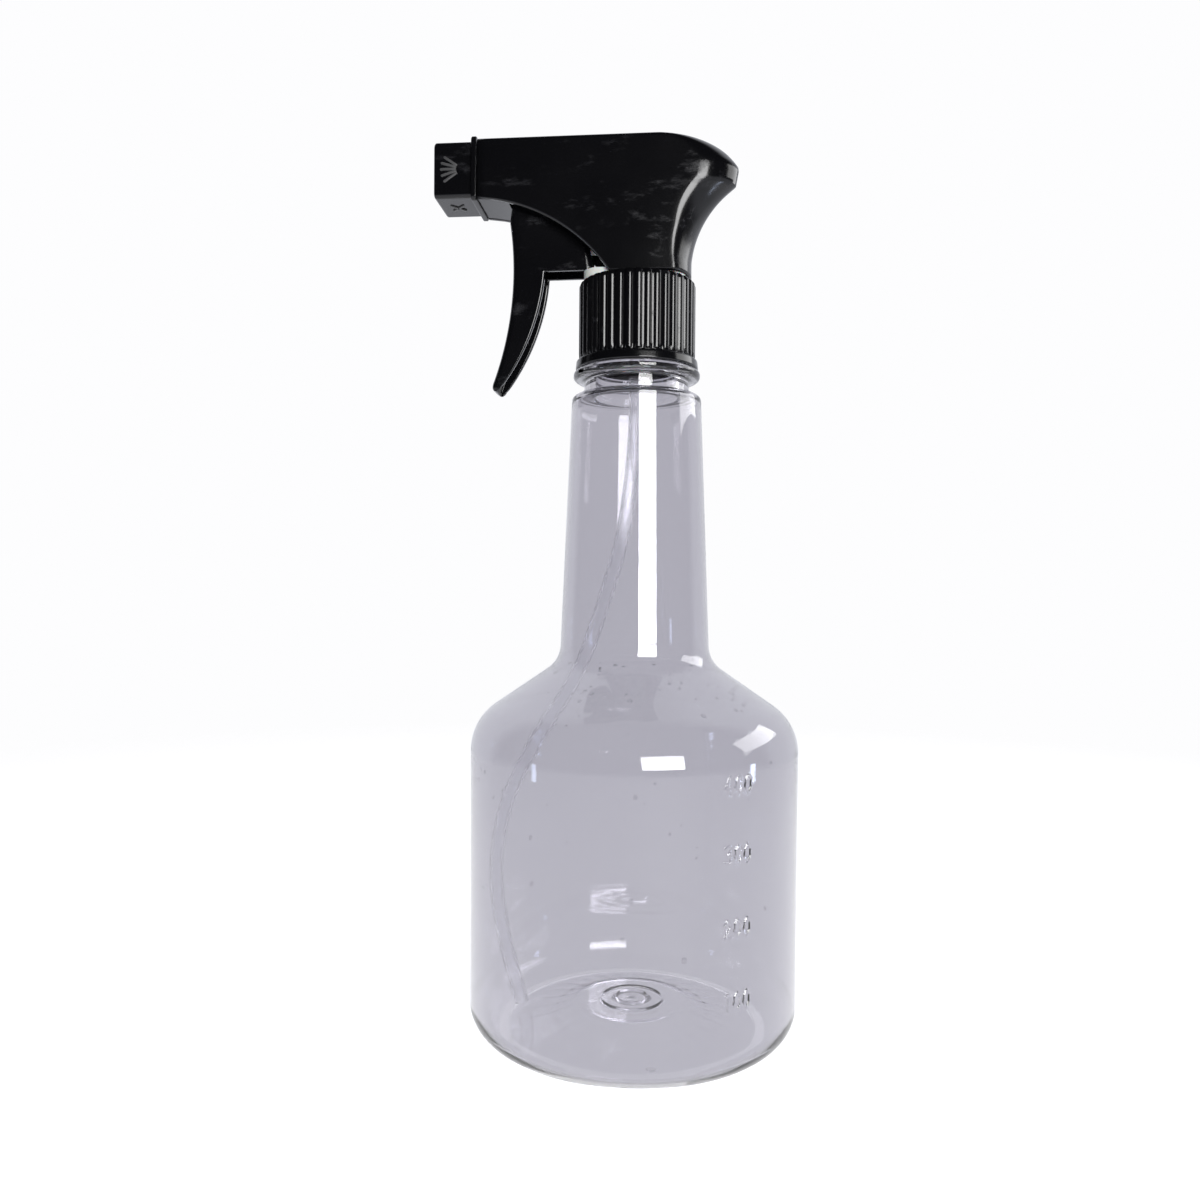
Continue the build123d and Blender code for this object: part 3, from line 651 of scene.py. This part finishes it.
def trigger_back(heights):
    """x of the rear edge of the trigger's side webs at each height: slender along the
    finger grip, and reaching far back above the ledge."""
    z = np.asarray(heights) / MM
    grip = arc_through((-35.7, 169.4), (-27.7, 184), (-24.2, LEDGE), np.clip(z, 169.4, LEDGE))
    web = np.interp(z, [LEDGE, 207, 215, 229], [-11.5, -12.5, -20, -26])
    return np.where(z > LEDGE, web, grip) * MM


def trigger_shape():
    """Level slices of a channel that is open at the back, with its rear edge thinned to
    nothing at the rounded tip."""
    tip = TRIGGER_LOW.z
    swing = np.linspace(0, pi / 2, 10)
    round_up = 2.2 * MM
    heights = np.concatenate([
        tip + round_up * (1 - np.cos(swing)),
        np.linspace(tip + round_up, (LEDGE - 0.05) * MM, 44)[1:],
        np.array([LEDGE + 0.05, 200.6, 201.5]) * MM,
        np.linspace(203, 228.4, 22) * MM,
    ])
    front, back = trigger_front(heights), trigger_back(heights)
    spread = np.concatenate([np.sin(swing) * 0.995 + 0.005, np.ones(len(heights) - 10)])
    middle = (front + back) / 2
    front, back = middle + (front - middle) * spread, middle + (back - middle) * spread
    depth = back - front
    half = np.full(heights.shape, 4.4 * MM) * (0.93 + 0.07 * spread)
    corner = np.minimum(1.5 * MM, depth * 0.9)
    points = slices(-back, -front, half, heights, corner, corner, 12, 6)
    points[..., 0] *= -1
    return grid(points)


def trigger_inside():
    """The cross ribs and the push pad inside the channel, each a plate with round edges."""
    half = 3.25 * MM
    plates = []
    for z, back in ((206, -14.5), (199, -25.5), (191, -27), (183, -30)):
        front = trigger_front(z * MM) / MM + 1.0
        outline = rectangle((front * MM, -half), (back * MM, half), 0.4 * MM)
        plates.append(slab(outline, (z - 0.5) * MM, (z + 0.5) * MM, 0.15 * MM))
    return joined(plates)


def shroud_underside():
    """The web that closes the shroud between its walls along the front of the arch: a
    strip of even thickness that follows the arch's curve, its ends drawn to a point."""
    x = np.linspace(ARCH[2][0], -33.5, 12)
    heights = np.linspace(211, ARCH[2][1], 200)
    z = np.interp(x, arc_through(*ARCH, heights)[::-1], heights[::-1]) * MM
    x, half, low, high = x * MM, 7.0 * MM, 0.05 * MM, 1.1 * MM
    loop = [(-half, low), (half, low), (half, high), (-half, high)]
    points = np.stack([np.stack([x, np.full_like(x, y), z + up], -1) for y, up in loop], 1)
    tips = np.broadcast_to(points.mean(1, keepdims=True), points.shape)
    return grid(np.concatenate([tips[:1], points, tips[-1:]]), wrap_columns=True)


class SPRAY_OT_shroud(bpy.types.Operator):
    """Makes the one-piece shroud over the pump"""

    bl_idname = "spray.shroud"
    bl_label = "Shroud"

    def execute(self, context):
        scene = context.scene
        settings = scene.spray_sprayer
        material = moulded_black_polypropylene("shroud", scene.spray_finish)
        piece = new_piece("pump_shroud", "head", material, shroud_shape(settings))
        thicken(piece, settings.shell)
        new_piece("shroud_underside", "head", material, shroud_underside())
        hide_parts("shroud")
        return {"FINISHED"}


class SPRAY_OT_trigger(bpy.types.Operator):
    """Makes the curved trigger with its side webs and the ribs inside it"""

    bl_idname = "spray.trigger"
    bl_label = "Trigger"

    def execute(self, context):
        scene = context.scene
        material = moulded_black_polypropylene("trigger", scene.spray_finish)
        lever = new_piece("trigger_lever", "trigger", material, trigger_shape())
        thicken(lever, scene.spray_sprayer.trigger_wall)
        new_piece("trigger_ribs", "trigger", material, trigger_inside())
        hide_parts("trigger")
        return {"FINISHED"}


# ---- the nozzle --------------------------------------------------------------

# How far the cap's rear lip stands out, and how long it is.
NOZZLE_STEP, NOZZLE_LIP = 1.0 * MM, 1.5 * MM


def nozzle_shape():
    """A section of (x, half side, corner radius) carried round the barrel's axis on a
    rounded square, with a round section for the bore and the spray hole."""
    front, back = NOZZLE_LOW.x, NOZZLE_HIGH.x
    lip = NOZZLE_HIGH.y
    side, lip_x = lip - NOZZLE_STEP, back - NOZZLE_LIP
    bore, orifice, edge = 4.05 * MM, 0.45 * MM, 0.8 * MM
    outline = [(back, bore), (back, lip), (lip_x, lip), (lip_x, side), (front, side)]
    outline += [(front, 2.5 * MM), (front + 0.8 * MM, orifice), (front + 2.4 * MM, orifice)]
    outline += [(front + 2.7 * MM, bore), (back, bore)]
    radii = [0.3 * MM, 0.4 * MM, 0.3 * MM, edge, 0.3 * MM, 0, 0, 0]
    rows = divided(filleted_path(outline, radii), 1.2 * MM)
    x, half = rows[:, 0][:, None], rows[:, 1][:, None]
    corners = np.arange(4) * pi / 2 + pi / 4
    angles = np.sort(np.concatenate([
        np.arange(0, 2 * pi, radians(6)),
        np.add.outer(corners, radians(1.6) * np.arange(-5, 6)).ravel() + 1e-4,
    ]))
    squareness = smooth_step(bore + 0.8 * MM, side - 1.6 * MM, half)
    corner = half * (1 - squareness) + np.minimum(1.0 * MM, half) * squareness
    reach = rounded_square(angles, half, corner)
    y, z = reach * np.cos(angles), BARREL_Z + reach * np.sin(angles)
    return grid(np.stack([x + 0 * reach, y, z], -1), wrap_columns=True)


def spray_signs():
    """Raised signs on the cap's four sides: a fan of strokes for spray, one stroke for a
    jet, and two crossed strokes for off. Each stroke is a low plate, laid flat on the
    upper side's plane and turned by quarters round the barrel's axis."""
    side = NOZZLE_HIGH.y - NOZZLE_STEP
    middle = (NOZZLE_LOW.x + NOZZLE_HIGH.x - NOZZLE_LIP) / 2
    low, high = side - 0.25 * MM, side + 0.3 * MM
    fan = []
    for degrees in (-34, -17, 0, 17, 34):
        aim = np.array([-cos(radians(degrees)), sin(radians(degrees))])
        foot = np.array([2.6 * MM, 0])
        fan.append(stadium(foot + aim * 1.9 * MM, foot + aim * 5.6 * MM, 0.33 * MM))
    jet = [stadium((2.6 * MM, 0), (-2.8 * MM, 0), 0.35 * MM)]
    arm = 1.6 * MM
    bars = [stadium((arm, side_arm), (-arm, -side_arm), 0.3 * MM) for side_arm in (-arm, arm)]
    plates = []
    for quarter, outlines in enumerate((fan, bars, jet, bars)):
        turn = quarter * pi / 2
        for outline in outlines:
            points, faces = slab(outline, low, high, 0.08 * MM)
            along, across, out = points[:, 0] + middle, points[:, 1], points[:, 2]
            y = -out * cos(turn) + across * sin(turn)
            z = across * cos(turn) + out * sin(turn)
            plates.append((np.stack([along, y, z + BARREL_Z], -1), faces))
    return joined(plates)


class SPRAY_OT_nozzle(bpy.types.Operator):
    """Makes the turning nozzle cap with its raised signs"""

    bl_idname = "spray.nozzle"
    bl_label = "Nozzle"

    def execute(self, context):
        scene = context.scene
        material = moulded_black_polypropylene("nozzle", scene.spray_finish)
        cap = new_piece("nozzle_knob", "nozzle", material, nozzle_shape())
        worn = moulded_black_polypropylene("nozzle_signs", scene.spray_finish, wear=1.0)
        new_piece("nozzle_signs", "nozzle", worn, spray_signs())
        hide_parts("nozzle_cap")
        return {"FINISHED"}


# ---- materials ---------------------------------------------------------------


def link(tree, node, links):
    """Links a node's inputs, by name or number, to sockets, or to nodes' first outputs."""
    for socket, source in links.items():
        source = source.outputs[0] if isinstance(source, bpy.types.Node) else source
        tree.links.new(source, node.inputs[socket])


def add_node(tree, kind, links=None, values=None, stops=None, **settings):
    """Adds a shader node, sets its properties or input values by name, or its input values
    by number, and links its inputs. Stops are a colour ramp's (position, colour) pairs."""
    node = tree.nodes.new("ShaderNode" + kind)
    for key, value in settings.items():
        if hasattr(node, key):
            setattr(node, key, value)
        else:
            node.inputs[key.replace("_", " ")].default_value = value
    for number, value in (values or {}).items():
        node.inputs[number].default_value = value
    for place, stop in enumerate(stops or []):
        element = node.color_ramp.elements[place]
        element.position, element.color = stop
    link(tree, node, links or {})
    return node


def new_material(name, **shader_values):
    """A material with a Principled shader. Returns it with its tree, shader and the
    object's own coordinates."""
    material = bpy.data.materials.new(name)
    material.use_nodes = True
    tree = material.node_tree
    shader = next(node for node in tree.nodes if node.type == "BSDF_PRINCIPLED")
    for socket, value in shader_values.items():
        shader.inputs[socket.replace("_", " ")].default_value = value
    place = add_node(tree, "TexCoord").outputs["Object"]
    return material, tree, shader, place


def waves(size):
    """Noise scale whose features are about size across, both in metres."""
    return 0.6 / size


def shaded(tint, share):
    """A colour at a share of its own brightness."""
    return (*(share * value for value in tint[:3]), 1.0)


def moulded_black_polypropylene(piece, settings, wear=0.0):
    """Polypropylene with carbon black, injection moulded in a finely spark-eroded tool.
    It looks near black with a satin sheen. Orange peel about 0.7 mm across and a finer
    grain break the highlights up, handling leaves paler and duller scuffs a few
    millimetres long, and the gloss drifts slowly over centimetres. Wear from 0 to 1
    pales and dulls the whole surface, as on the tops of raised marks."""
    material, tree, shader, place = new_material(
        f"moulded_black_polypropylene_{piece}", IOR=1.49, Specular_IOR_Level=0.42
    )
    drift = add_node(tree, "TexNoise", {"Vector": place}, Scale=waves(14 * MM), Detail=3)
    peel = add_node(tree, "TexNoise", {"Vector": place}, Scale=waves(0.7 * MM), Detail=2)
    grain = add_node(tree, "TexNoise", {"Vector": place}, Scale=waves(0.18 * MM), Detail=1)
    slant = add_node(
        tree, "Mapping", {"Vector": place}, Rotation=(0.4, 0.9, 0.3), Scale=(1, 7, 2.5)
    )
    scratch = add_node(
        tree, "TexNoise", {"Vector": slant}, Scale=waves(9 * MM), Detail=6, Roughness=0.7
    )
    scuff = add_node(tree, "ValToRGB", {"Fac": scratch}, stops=[(0.56, BLACK), (0.70, WHITE)])
    clean = (*(value + wear * 0.05 for value in settings.black[:3]), 1.0)
    tone = add_node(
        tree, "Mix", {0: scuff}, values={6: clean, 7: linear("#1C1C1F")}, data_type="RGBA"
    )
    dulled = 0.25 * wear
    gloss = add_node(
        tree, "MapRange", {"Value": drift},
        From_Min=0.3, From_Max=0.7, To_Min=0.12 + dulled, To_Max=0.20 + dulled,
    )
    rougher = add_node(
        tree, "Math", {0: scuff, 2: gloss}, values={1: 0.22}, operation="MULTIPLY_ADD"
    )
    soft = add_node(tree, "Bump", {"Height": peel}, Strength=0.06, Distance=0.04 * MM)
    fine = add_node(
        tree, "Bump", {"Height": grain, "Normal": soft}, Strength=0.05, Distance=0.02 * MM
    )
    link(tree, shader, {"Base Color": tone.outputs[2], "Roughness": rougher, "Normal": fine})
    return material


def blown_clear_pet(settings):
    """Clear polyester, stretch-blown into a polished mould. It is glass clear with a faint cool
    tint that deepens where the wall turns edge-on. Part of that tint is painted shade: it dims what
    is seen through the bottle, standing for a greyer backdrop behind it. The wall wanders in
    thickness, which bends what is behind it in soft waves a few centimetres long."""
    material, tree, shader, place = new_material(
        "blown_clear_pet", IOR=1.5, Transmission_Weight=1.0, Base_Color=settings.bottle_tint
    )
    tall = add_node(tree, "Mapping", {"Vector": place}, Scale=(1, 1, 0.35))
    flow = add_node(tree, "TexNoise", {"Vector": tall}, Scale=waves(16 * MM), Detail=2)
    ripple = add_node(tree, "Bump", {"Height": flow}, Strength=0.25, Distance=0.35 * MM)
    haze = add_node(tree, "TexNoise", {"Vector": place}, Scale=waves(5 * MM), Detail=5)
    dull = add_node(
        tree, "MapRange", {"Value": haze}, From_Min=0.4, From_Max=0.75, To_Min=0.01, To_Max=0.05
    )
    link(tree, shader, {"Normal": ripple, "Roughness": dull})
    return material


def clinging_water():
    """Beads of water left on the inner wall: clear and sharply curved, so that each
    shows a small bright point and a dark rim. A faint film dulls them unevenly. They are
    drawn partly see-through, because water on plastic bends light less than in air."""
    material, tree, shader, place = new_material(
        "clinging_water", IOR=1.2, Transmission_Weight=1.0, Alpha=0.55
    )
    film = add_node(tree, "TexNoise", {"Vector": place}, Scale=waves(0.5 * MM), Detail=1)
    wet = add_node(tree, "MapRange", {"Value": film}, To_Min=0.0, To_Max=0.04)
    link(tree, shader, {"Roughness": wet})
    return material


def extruded_natural_polyethylene(settings):
    """Low density polyethylene tube, extruded without pigment. It is milky and see
    through, with faint lines left along it by the die."""
    material, tree, shader, place = new_material(
        "extruded_natural_polyethylene",
        IOR=1.35, Transmission_Weight=1.0, Base_Color=settings.tube_tint, Alpha=0.5,
    )
    lines = add_node(tree, "Mapping", {"Vector": place}, Scale=(1, 1, 0.05))
    die = add_node(tree, "TexNoise", {"Vector": lines}, Scale=waves(0.6 * MM), Detail=2)
    bump = add_node(tree, "Bump", {"Height": die}, Strength=0.04, Distance=0.05 * MM)
    cloud = add_node(tree, "MapRange", {"Value": die}, To_Min=0.02, To_Max=0.08)
    link(tree, shader, {"Normal": bump, "Roughness": cloud})
    return material


def moulded_natural_polymer(name, tint, roughness, cell):
    """Uncoloured polypropylene, polyethylene or foam, milky with light passing a little
    way in. Its skin has a fine texture of the given cell size in metres."""
    material, tree, shader, place = new_material(
        name, IOR=1.5, Subsurface_Weight=0.25, Subsurface_Scale=1.5 * MM, Roughness=roughness
    )
    cloud = add_node(tree, "TexNoise", {"Vector": place}, Scale=waves(4 * MM), Detail=3)
    stops = [(0.3, shaded(tint, 0.8)), (0.7, tuple(tint))]
    milky = add_node(tree, "ValToRGB", {"Fac": cloud}, stops=stops)
    skin = add_node(tree, "TexVoronoi", {"Vector": place}, Scale=1 / cell)
    bump = add_node(tree, "Bump", {"Height": skin}, Strength=0.2, Distance=0.1 * cell)
    link(tree, shader, {"Base Color": milky, "Normal": bump})
    return material


def drawn_stainless_steel(name, roughness):
    """Stainless steel, drawn to wire or ground to a ball: bright, a little warm, and
    unevenly worn in patches about a millimetre across."""
    material, tree, shader, place = new_material(name, Metallic=1.0)
    stain = add_node(tree, "TexNoise", {"Vector": place}, Scale=waves(1.2 * MM), Detail=4)
    stops = [(0.3, linear("#B4B2AD")), (0.7, linear("#D2D0CB"))]
    bright = add_node(tree, "ValToRGB", {"Fac": stain}, stops=stops)
    worn = add_node(
        tree, "MapRange", {"Value": stain}, To_Min=roughness, To_Max=roughness + 0.15
    )
    link(tree, shader, {"Base Color": bright, "Roughness": worn})
    return material


def studio_board(tint):
    """Pale laminated studio board: even, almost matt, with a trace of paper tooth. It
    glows a little, as if lit from all round, and fades out over half a metre round the
    bottle, so that no far edge shows. Light that has come through clear plastic passes
    it and meets the surround, which keeps the plastic's tone even from top to base."""
    material, tree, shader, place = new_material(
        "pale_studio_board", Specular_IOR_Level=0.25, Emission_Color=WHITE, Emission_Strength=0.8
    )
    tooth = add_node(tree, "TexNoise", {"Vector": place}, Scale=waves(1.5 * MM), Detail=2)
    stops = [(0.3, shaded(tint, 0.985)), (0.7, tuple(tint))]
    paper = add_node(tree, "ValToRGB", {"Fac": tooth}, stops=stops)
    matt = add_node(tree, "MapRange", {"Value": tooth}, To_Min=0.6, To_Max=0.75)
    distance = add_node(tree, "VectorMath", {0: place}, operation="LENGTH")
    fade = add_node(
        tree, "MapRange", {"Value": distance.outputs["Value"]}, interpolation_type="SMOOTHSTEP",
        From_Min=80 * MM, From_Max=650 * MM, To_Min=1.0, To_Max=0.0,
    )
    through = add_node(tree, "LightPath").outputs["Is Transmission Ray"]
    seen = add_node(tree, "MapRange", {"Value": through}, To_Min=1.0, To_Max=0.0)
    cover = add_node(tree, "Math", {0: fade, 1: seen}, operation="MULTIPLY")
    link(tree, shader, {"Base Color": paper, "Roughness": matt, "Alpha": cover})
    return material


# ---- the dip tube and the inner parts ----------------------------------------


def dip_tube_shape(radius, wall):
    """A round tube carried along a smooth bowed path in the XZ plane: each ring stands
    square to the path, the outer rings go down it and the inner ones come back up. The
    path's corners, in mm, are rounded by arcs nearly as long as their runs allow."""
    bow = 5.4 - BOTTLE_HIGH.x / MM
    corner, top = 80.9, TUBE_HIGH.z / MM
    neck_span = top - corner - 30
    route = [
        (0, top), (0, top - 0.43 * neck_span), (-2.8, top - 0.74 * neck_span), (-8.6, corner + 30),
        (-15.25, corner + 11), (bow + 11, 0.925 * corner), (bow + 2.4, 0.70 * corner),
        (bow, 0.48 * corner), (bow + 2.8, 0.26 * corner), (bow + 8, TUBE_LOW.z / MM),
    ]
    route = [np.array(spot) * MM for spot in route]
    radii = []
    for before, here, after in zip(route, route[1:], route[2:]):
        turn = np.arccos(np.clip(unit(here - before) @ unit(after - here), -1, 1))
        shorter = min(np.linalg.norm(here - before), np.linalg.norm(after - here))
        radii.append(0.45 * shorter / np.tan(turn / 2))
    path = divided(filleted_path(route, radii, turn_step=1.5), 2 * MM)
    ahead = np.gradient(path, axis=0)
    ahead /= np.linalg.norm(ahead, axis=1, keepdims=True)
    swing = np.arange(0, 2 * pi, pi / 16)
    rings = []
    for size, order in ((radius, 1), (radius - wall, -1)):
        x = path[:, :1] - ahead[:, 1:] * size * np.cos(swing)
        z = path[:, 1:] + ahead[:, :1] * size * np.cos(swing)
        rings.append(np.stack([x, 0 * x + size * np.sin(swing), z], -1)[::order])
    return grid(np.concatenate(rings), wrap_rows=True, wrap_columns=True)


class SPRAY_OT_inner_parts(bpy.types.Operator):
    """Makes the dip tube, and gives the pump's inner parts, seals and springs their materials"""

    bl_idname = "spray.inner_parts"
    bl_label = "Inner parts"

    def execute(self, context):
        finish = context.scene.spray_finish
        natural = moulded_natural_polymer(
            "moulded_natural_polypropylene", finish.natural, 0.35, 0.5 * MM
        )
        seal = moulded_natural_polymer(
            "moulded_polyethylene_seal", linear("#D5D8DC"), 0.45, 0.6 * MM
        )
        foam = moulded_natural_polymer(
            "expanded_polyethylene_foam", linear("#E6E6E3"), 0.7, 0.35 * MM
        )
        wire = drawn_stainless_steel("drawn_stainless_wire", 0.22)
        ball = drawn_stainless_steel("ground_stainless_ball", 0.08)
        groups = {
            natural: ("pump_body", "piston", "tube_connector", "swirl_insert"),
            seal: ("piston_cup", "nozzle_seal", "outlet_valve"),
            foam: ("bottle_gasket",),
            wire: ("return_spring", "outlet_spring"),
            ball: ("inlet_ball",),
        }
        for material, names in groups.items():
            for name in names:
                for part_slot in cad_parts[name].material_slots:
                    part_slot.material = material
        tube = extruded_natural_polyethylene(finish)
        shape = dip_tube_shape(2.0 * MM, 0.6 * MM)
        piece = new_piece("bowed_dip_tube", "head", tube, shape)
        piece.visible_shadow = False
        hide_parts("dip_tube")
        return {"FINISHED"}


# ---- the stage ---------------------------------------------------------------

VIEW_TURN, VIEW_PITCH, VIEW_ROLL = radians(5.7), radians(-0.57), radians(0.45)
VIEW_BACK, VIEW_LEFT, VIEW_HEIGHT = 0.267, 0.0093, 0.1155
COOL = "#D6E4FF"
# Each light's azimuth from the camera's side and growing to its right, elevation in
# degrees, distance in metres, size in metres, power in watts and colour.
LIGHTS = {
    "window": (17.5, 13, 0.95, (0.48, 0.42), 9.3, "#FFFFFF"),
    "left_strip": (-68, -12, 0.34, (0.02, 0.06), 0.02, COOL),
    "right_strip": (80, -12, 0.34, (0.025, 0.06), 0.045, COOL),
    "rear_card": (102, 24, 0.8, (0.62, 0.24), 1.5, "#FFFFFF"),
}


def soft_window(name, azimuth, elevation, distance, size, power, tint):
    """A rectangular soft light that faces the bottle's middle."""
    turn, tilt = radians(azimuth) + VIEW_TURN, radians(elevation)
    offset = Vector((sin(turn) * cos(tilt), -cos(turn) * cos(tilt), sin(tilt))) * distance
    light = bpy.data.lights.new(name, "AREA")
    light.shape = "RECTANGLE"
    light.size, light.size_y = size
    light.energy = power
    light.color = linear(tint)[:3]
    lamp = bpy.data.objects.new(name, light)
    facing = offset.to_track_quat("Z", "Y").to_matrix().to_4x4()
    lamp.matrix_world = Matrix.Translation(Vector((0, 0, 115 * MM)) + offset) @ facing
    lamp.visible_camera = False
    bpy.context.scene.collection.objects.link(lamp)


def pale_surround():
    """A plain pale surround. It is seen at full strength directly and dimmer through
    clear plastic. What it lights or is mirrored in gets a bright half behind the bottle,
    a bright floor below the horizon and a dark half on the camera's side, as in a studio
    with a lit backdrop."""
    world = bpy.data.worlds.new("pale_surround")
    world.use_nodes = True
    tree = world.node_tree
    tree.nodes.clear()
    path = add_node(tree, "LightPath")
    direction = add_node(tree, "TexCoord").outputs["Generated"]
    split = add_node(tree, "SeparateXYZ", {"Vector": direction})
    behind = add_node(
        tree, "MapRange", {"Value": split.outputs["Y"]}, interpolation_type="SMOOTHSTEP",
        From_Min=0.1, From_Max=0.45, To_Min=0.015, To_Max=1.0,
    )
    below = add_node(
        tree, "MapRange", {"Value": split.outputs["Z"]},
        From_Min=0.0, From_Max=-0.15, To_Min=0.0, To_Max=0.85,
    )
    glow = add_node(tree, "Math", {0: behind, 1: below}, operation="MAXIMUM")
    mirrored = add_node(tree, "Background", {"Strength": glow}, Color=linear("#F0F2FA"))
    through = add_node(tree, "Background", Color=linear("#F0F0F5"), Strength=0.66)
    direct = add_node(tree, "Background", Color=linear("#FDFDFE"), Strength=1.0)
    passed = path.outputs["Is Transmission Ray"]
    clear = add_node(tree, "MixShader", {0: passed, 1: mirrored, 2: through})
    straight = path.outputs["Is Camera Ray"]
    mix = add_node(tree, "MixShader", {0: straight, 1: clear, 2: direct})
    add_node(tree, "OutputWorld", {"Surface": mix})
    return world


def floor_shape():
    """A flat round floor: rings of growing radius round the origin, from a radius of 0."""
    radius = np.linspace(0, 1.5, 16)
    rings = np.stack([radius, np.zeros_like(radius)], -1)
    return grid(lathe(rings, np.arange(0, 2 * pi, pi / 36)), wrap_columns=True)


class SPRAY_OT_stage(bpy.types.Operator):
    """Lays the pale floor and sets the soft lights and the camera"""

    bl_idname = "spray.stage"
    bl_label = "Stage"

    def execute(self, context):
        scene = context.scene
        points, faces = floor_shape()
        mesh = bpy.data.meshes.new("studio_floor")
        mesh.from_pydata(points.tolist(), [], faces.tolist())
        mesh.materials.append(studio_board(scene.spray_finish.floor))
        floor = bpy.data.objects.new("studio_floor", mesh)
        scene.collection.objects.link(floor)
        scene.world = pale_surround()
        for name, values in LIGHTS.items():
            soft_window(name, *values)
        camera = bpy.data.cameras.new("camera")
        camera.sensor_width, camera.lens, camera.clip_start = 36, 30, 0.01
        holder = bpy.data.objects.new("camera", camera)
        ahead = Vector((-sin(VIEW_TURN), cos(VIEW_TURN), 0))
        right = Vector((cos(VIEW_TURN), sin(VIEW_TURN), 0))
        place = -VIEW_BACK * ahead - VIEW_LEFT * right + Vector((0, 0, VIEW_HEIGHT))
        turned = Matrix.Rotation(VIEW_TURN, 4, "Z") @ Matrix.Rotation(pi / 2 + VIEW_PITCH, 4, "X")
        turned = turned @ Matrix.Rotation(VIEW_ROLL, 4, "Z")
        holder.matrix_world = Matrix.Translation(place) @ turned
        scene.collection.objects.link(holder)
        scene.camera = holder
        scene.view_settings.view_transform = "Standard"
        return {"FINISHED"}


# ---- the sidebar panel and the run -------------------------------------------


class SPRAY_PT_panel(bpy.types.Panel):
    """Lists the bottle's pieces and the sizes and colours that can be changed"""

    bl_idname = "SPRAY_PT_panel"
    bl_label = "Spray bottle"
    bl_space_type = "VIEW_3D"
    bl_region_type = "UI"
    bl_category = "Spray bottle"

    def draw(self, context):
        layout = self.layout
        for operator in OPERATORS:
            layout.operator(operator.bl_idname)
        for name in SETTINGS:
            box = layout.box()
            settings = getattr(context.scene, name)
            for key in settings.bl_rna.properties.keys():
                if key not in {"rna_type", "name"}:
                    box.prop(settings, key)


SETTINGS = {
    "spray_bottle": BottleSettings,
    "spray_sprayer": SprayerSettings,
    "spray_finish": FinishSettings,
}
OPERATORS = (
    SPRAY_OT_stage,
    SPRAY_OT_bottle,
    SPRAY_OT_collar,
    SPRAY_OT_shroud,
    SPRAY_OT_trigger,
    SPRAY_OT_nozzle,
    SPRAY_OT_inner_parts,
)


def register():
    for one in (*SETTINGS.values(), *OPERATORS, SPRAY_PT_panel):
        bpy.utils.register_class(one)
    for name, group in SETTINGS.items():
        setattr(bpy.types.Scene, name, PointerProperty(type=group))


def unregister():
    for name in SETTINGS:
        delattr(bpy.types.Scene, name)
    for one in reversed((*SETTINGS.values(), *OPERATORS, SPRAY_PT_panel)):
        bpy.utils.unregister_class(one)


def main():
    register()
    for operator in OPERATORS:
        group, name = operator.bl_idname.split(".")
        getattr(getattr(bpy.ops, group), name)()


if __name__ == "__main__":
    main()
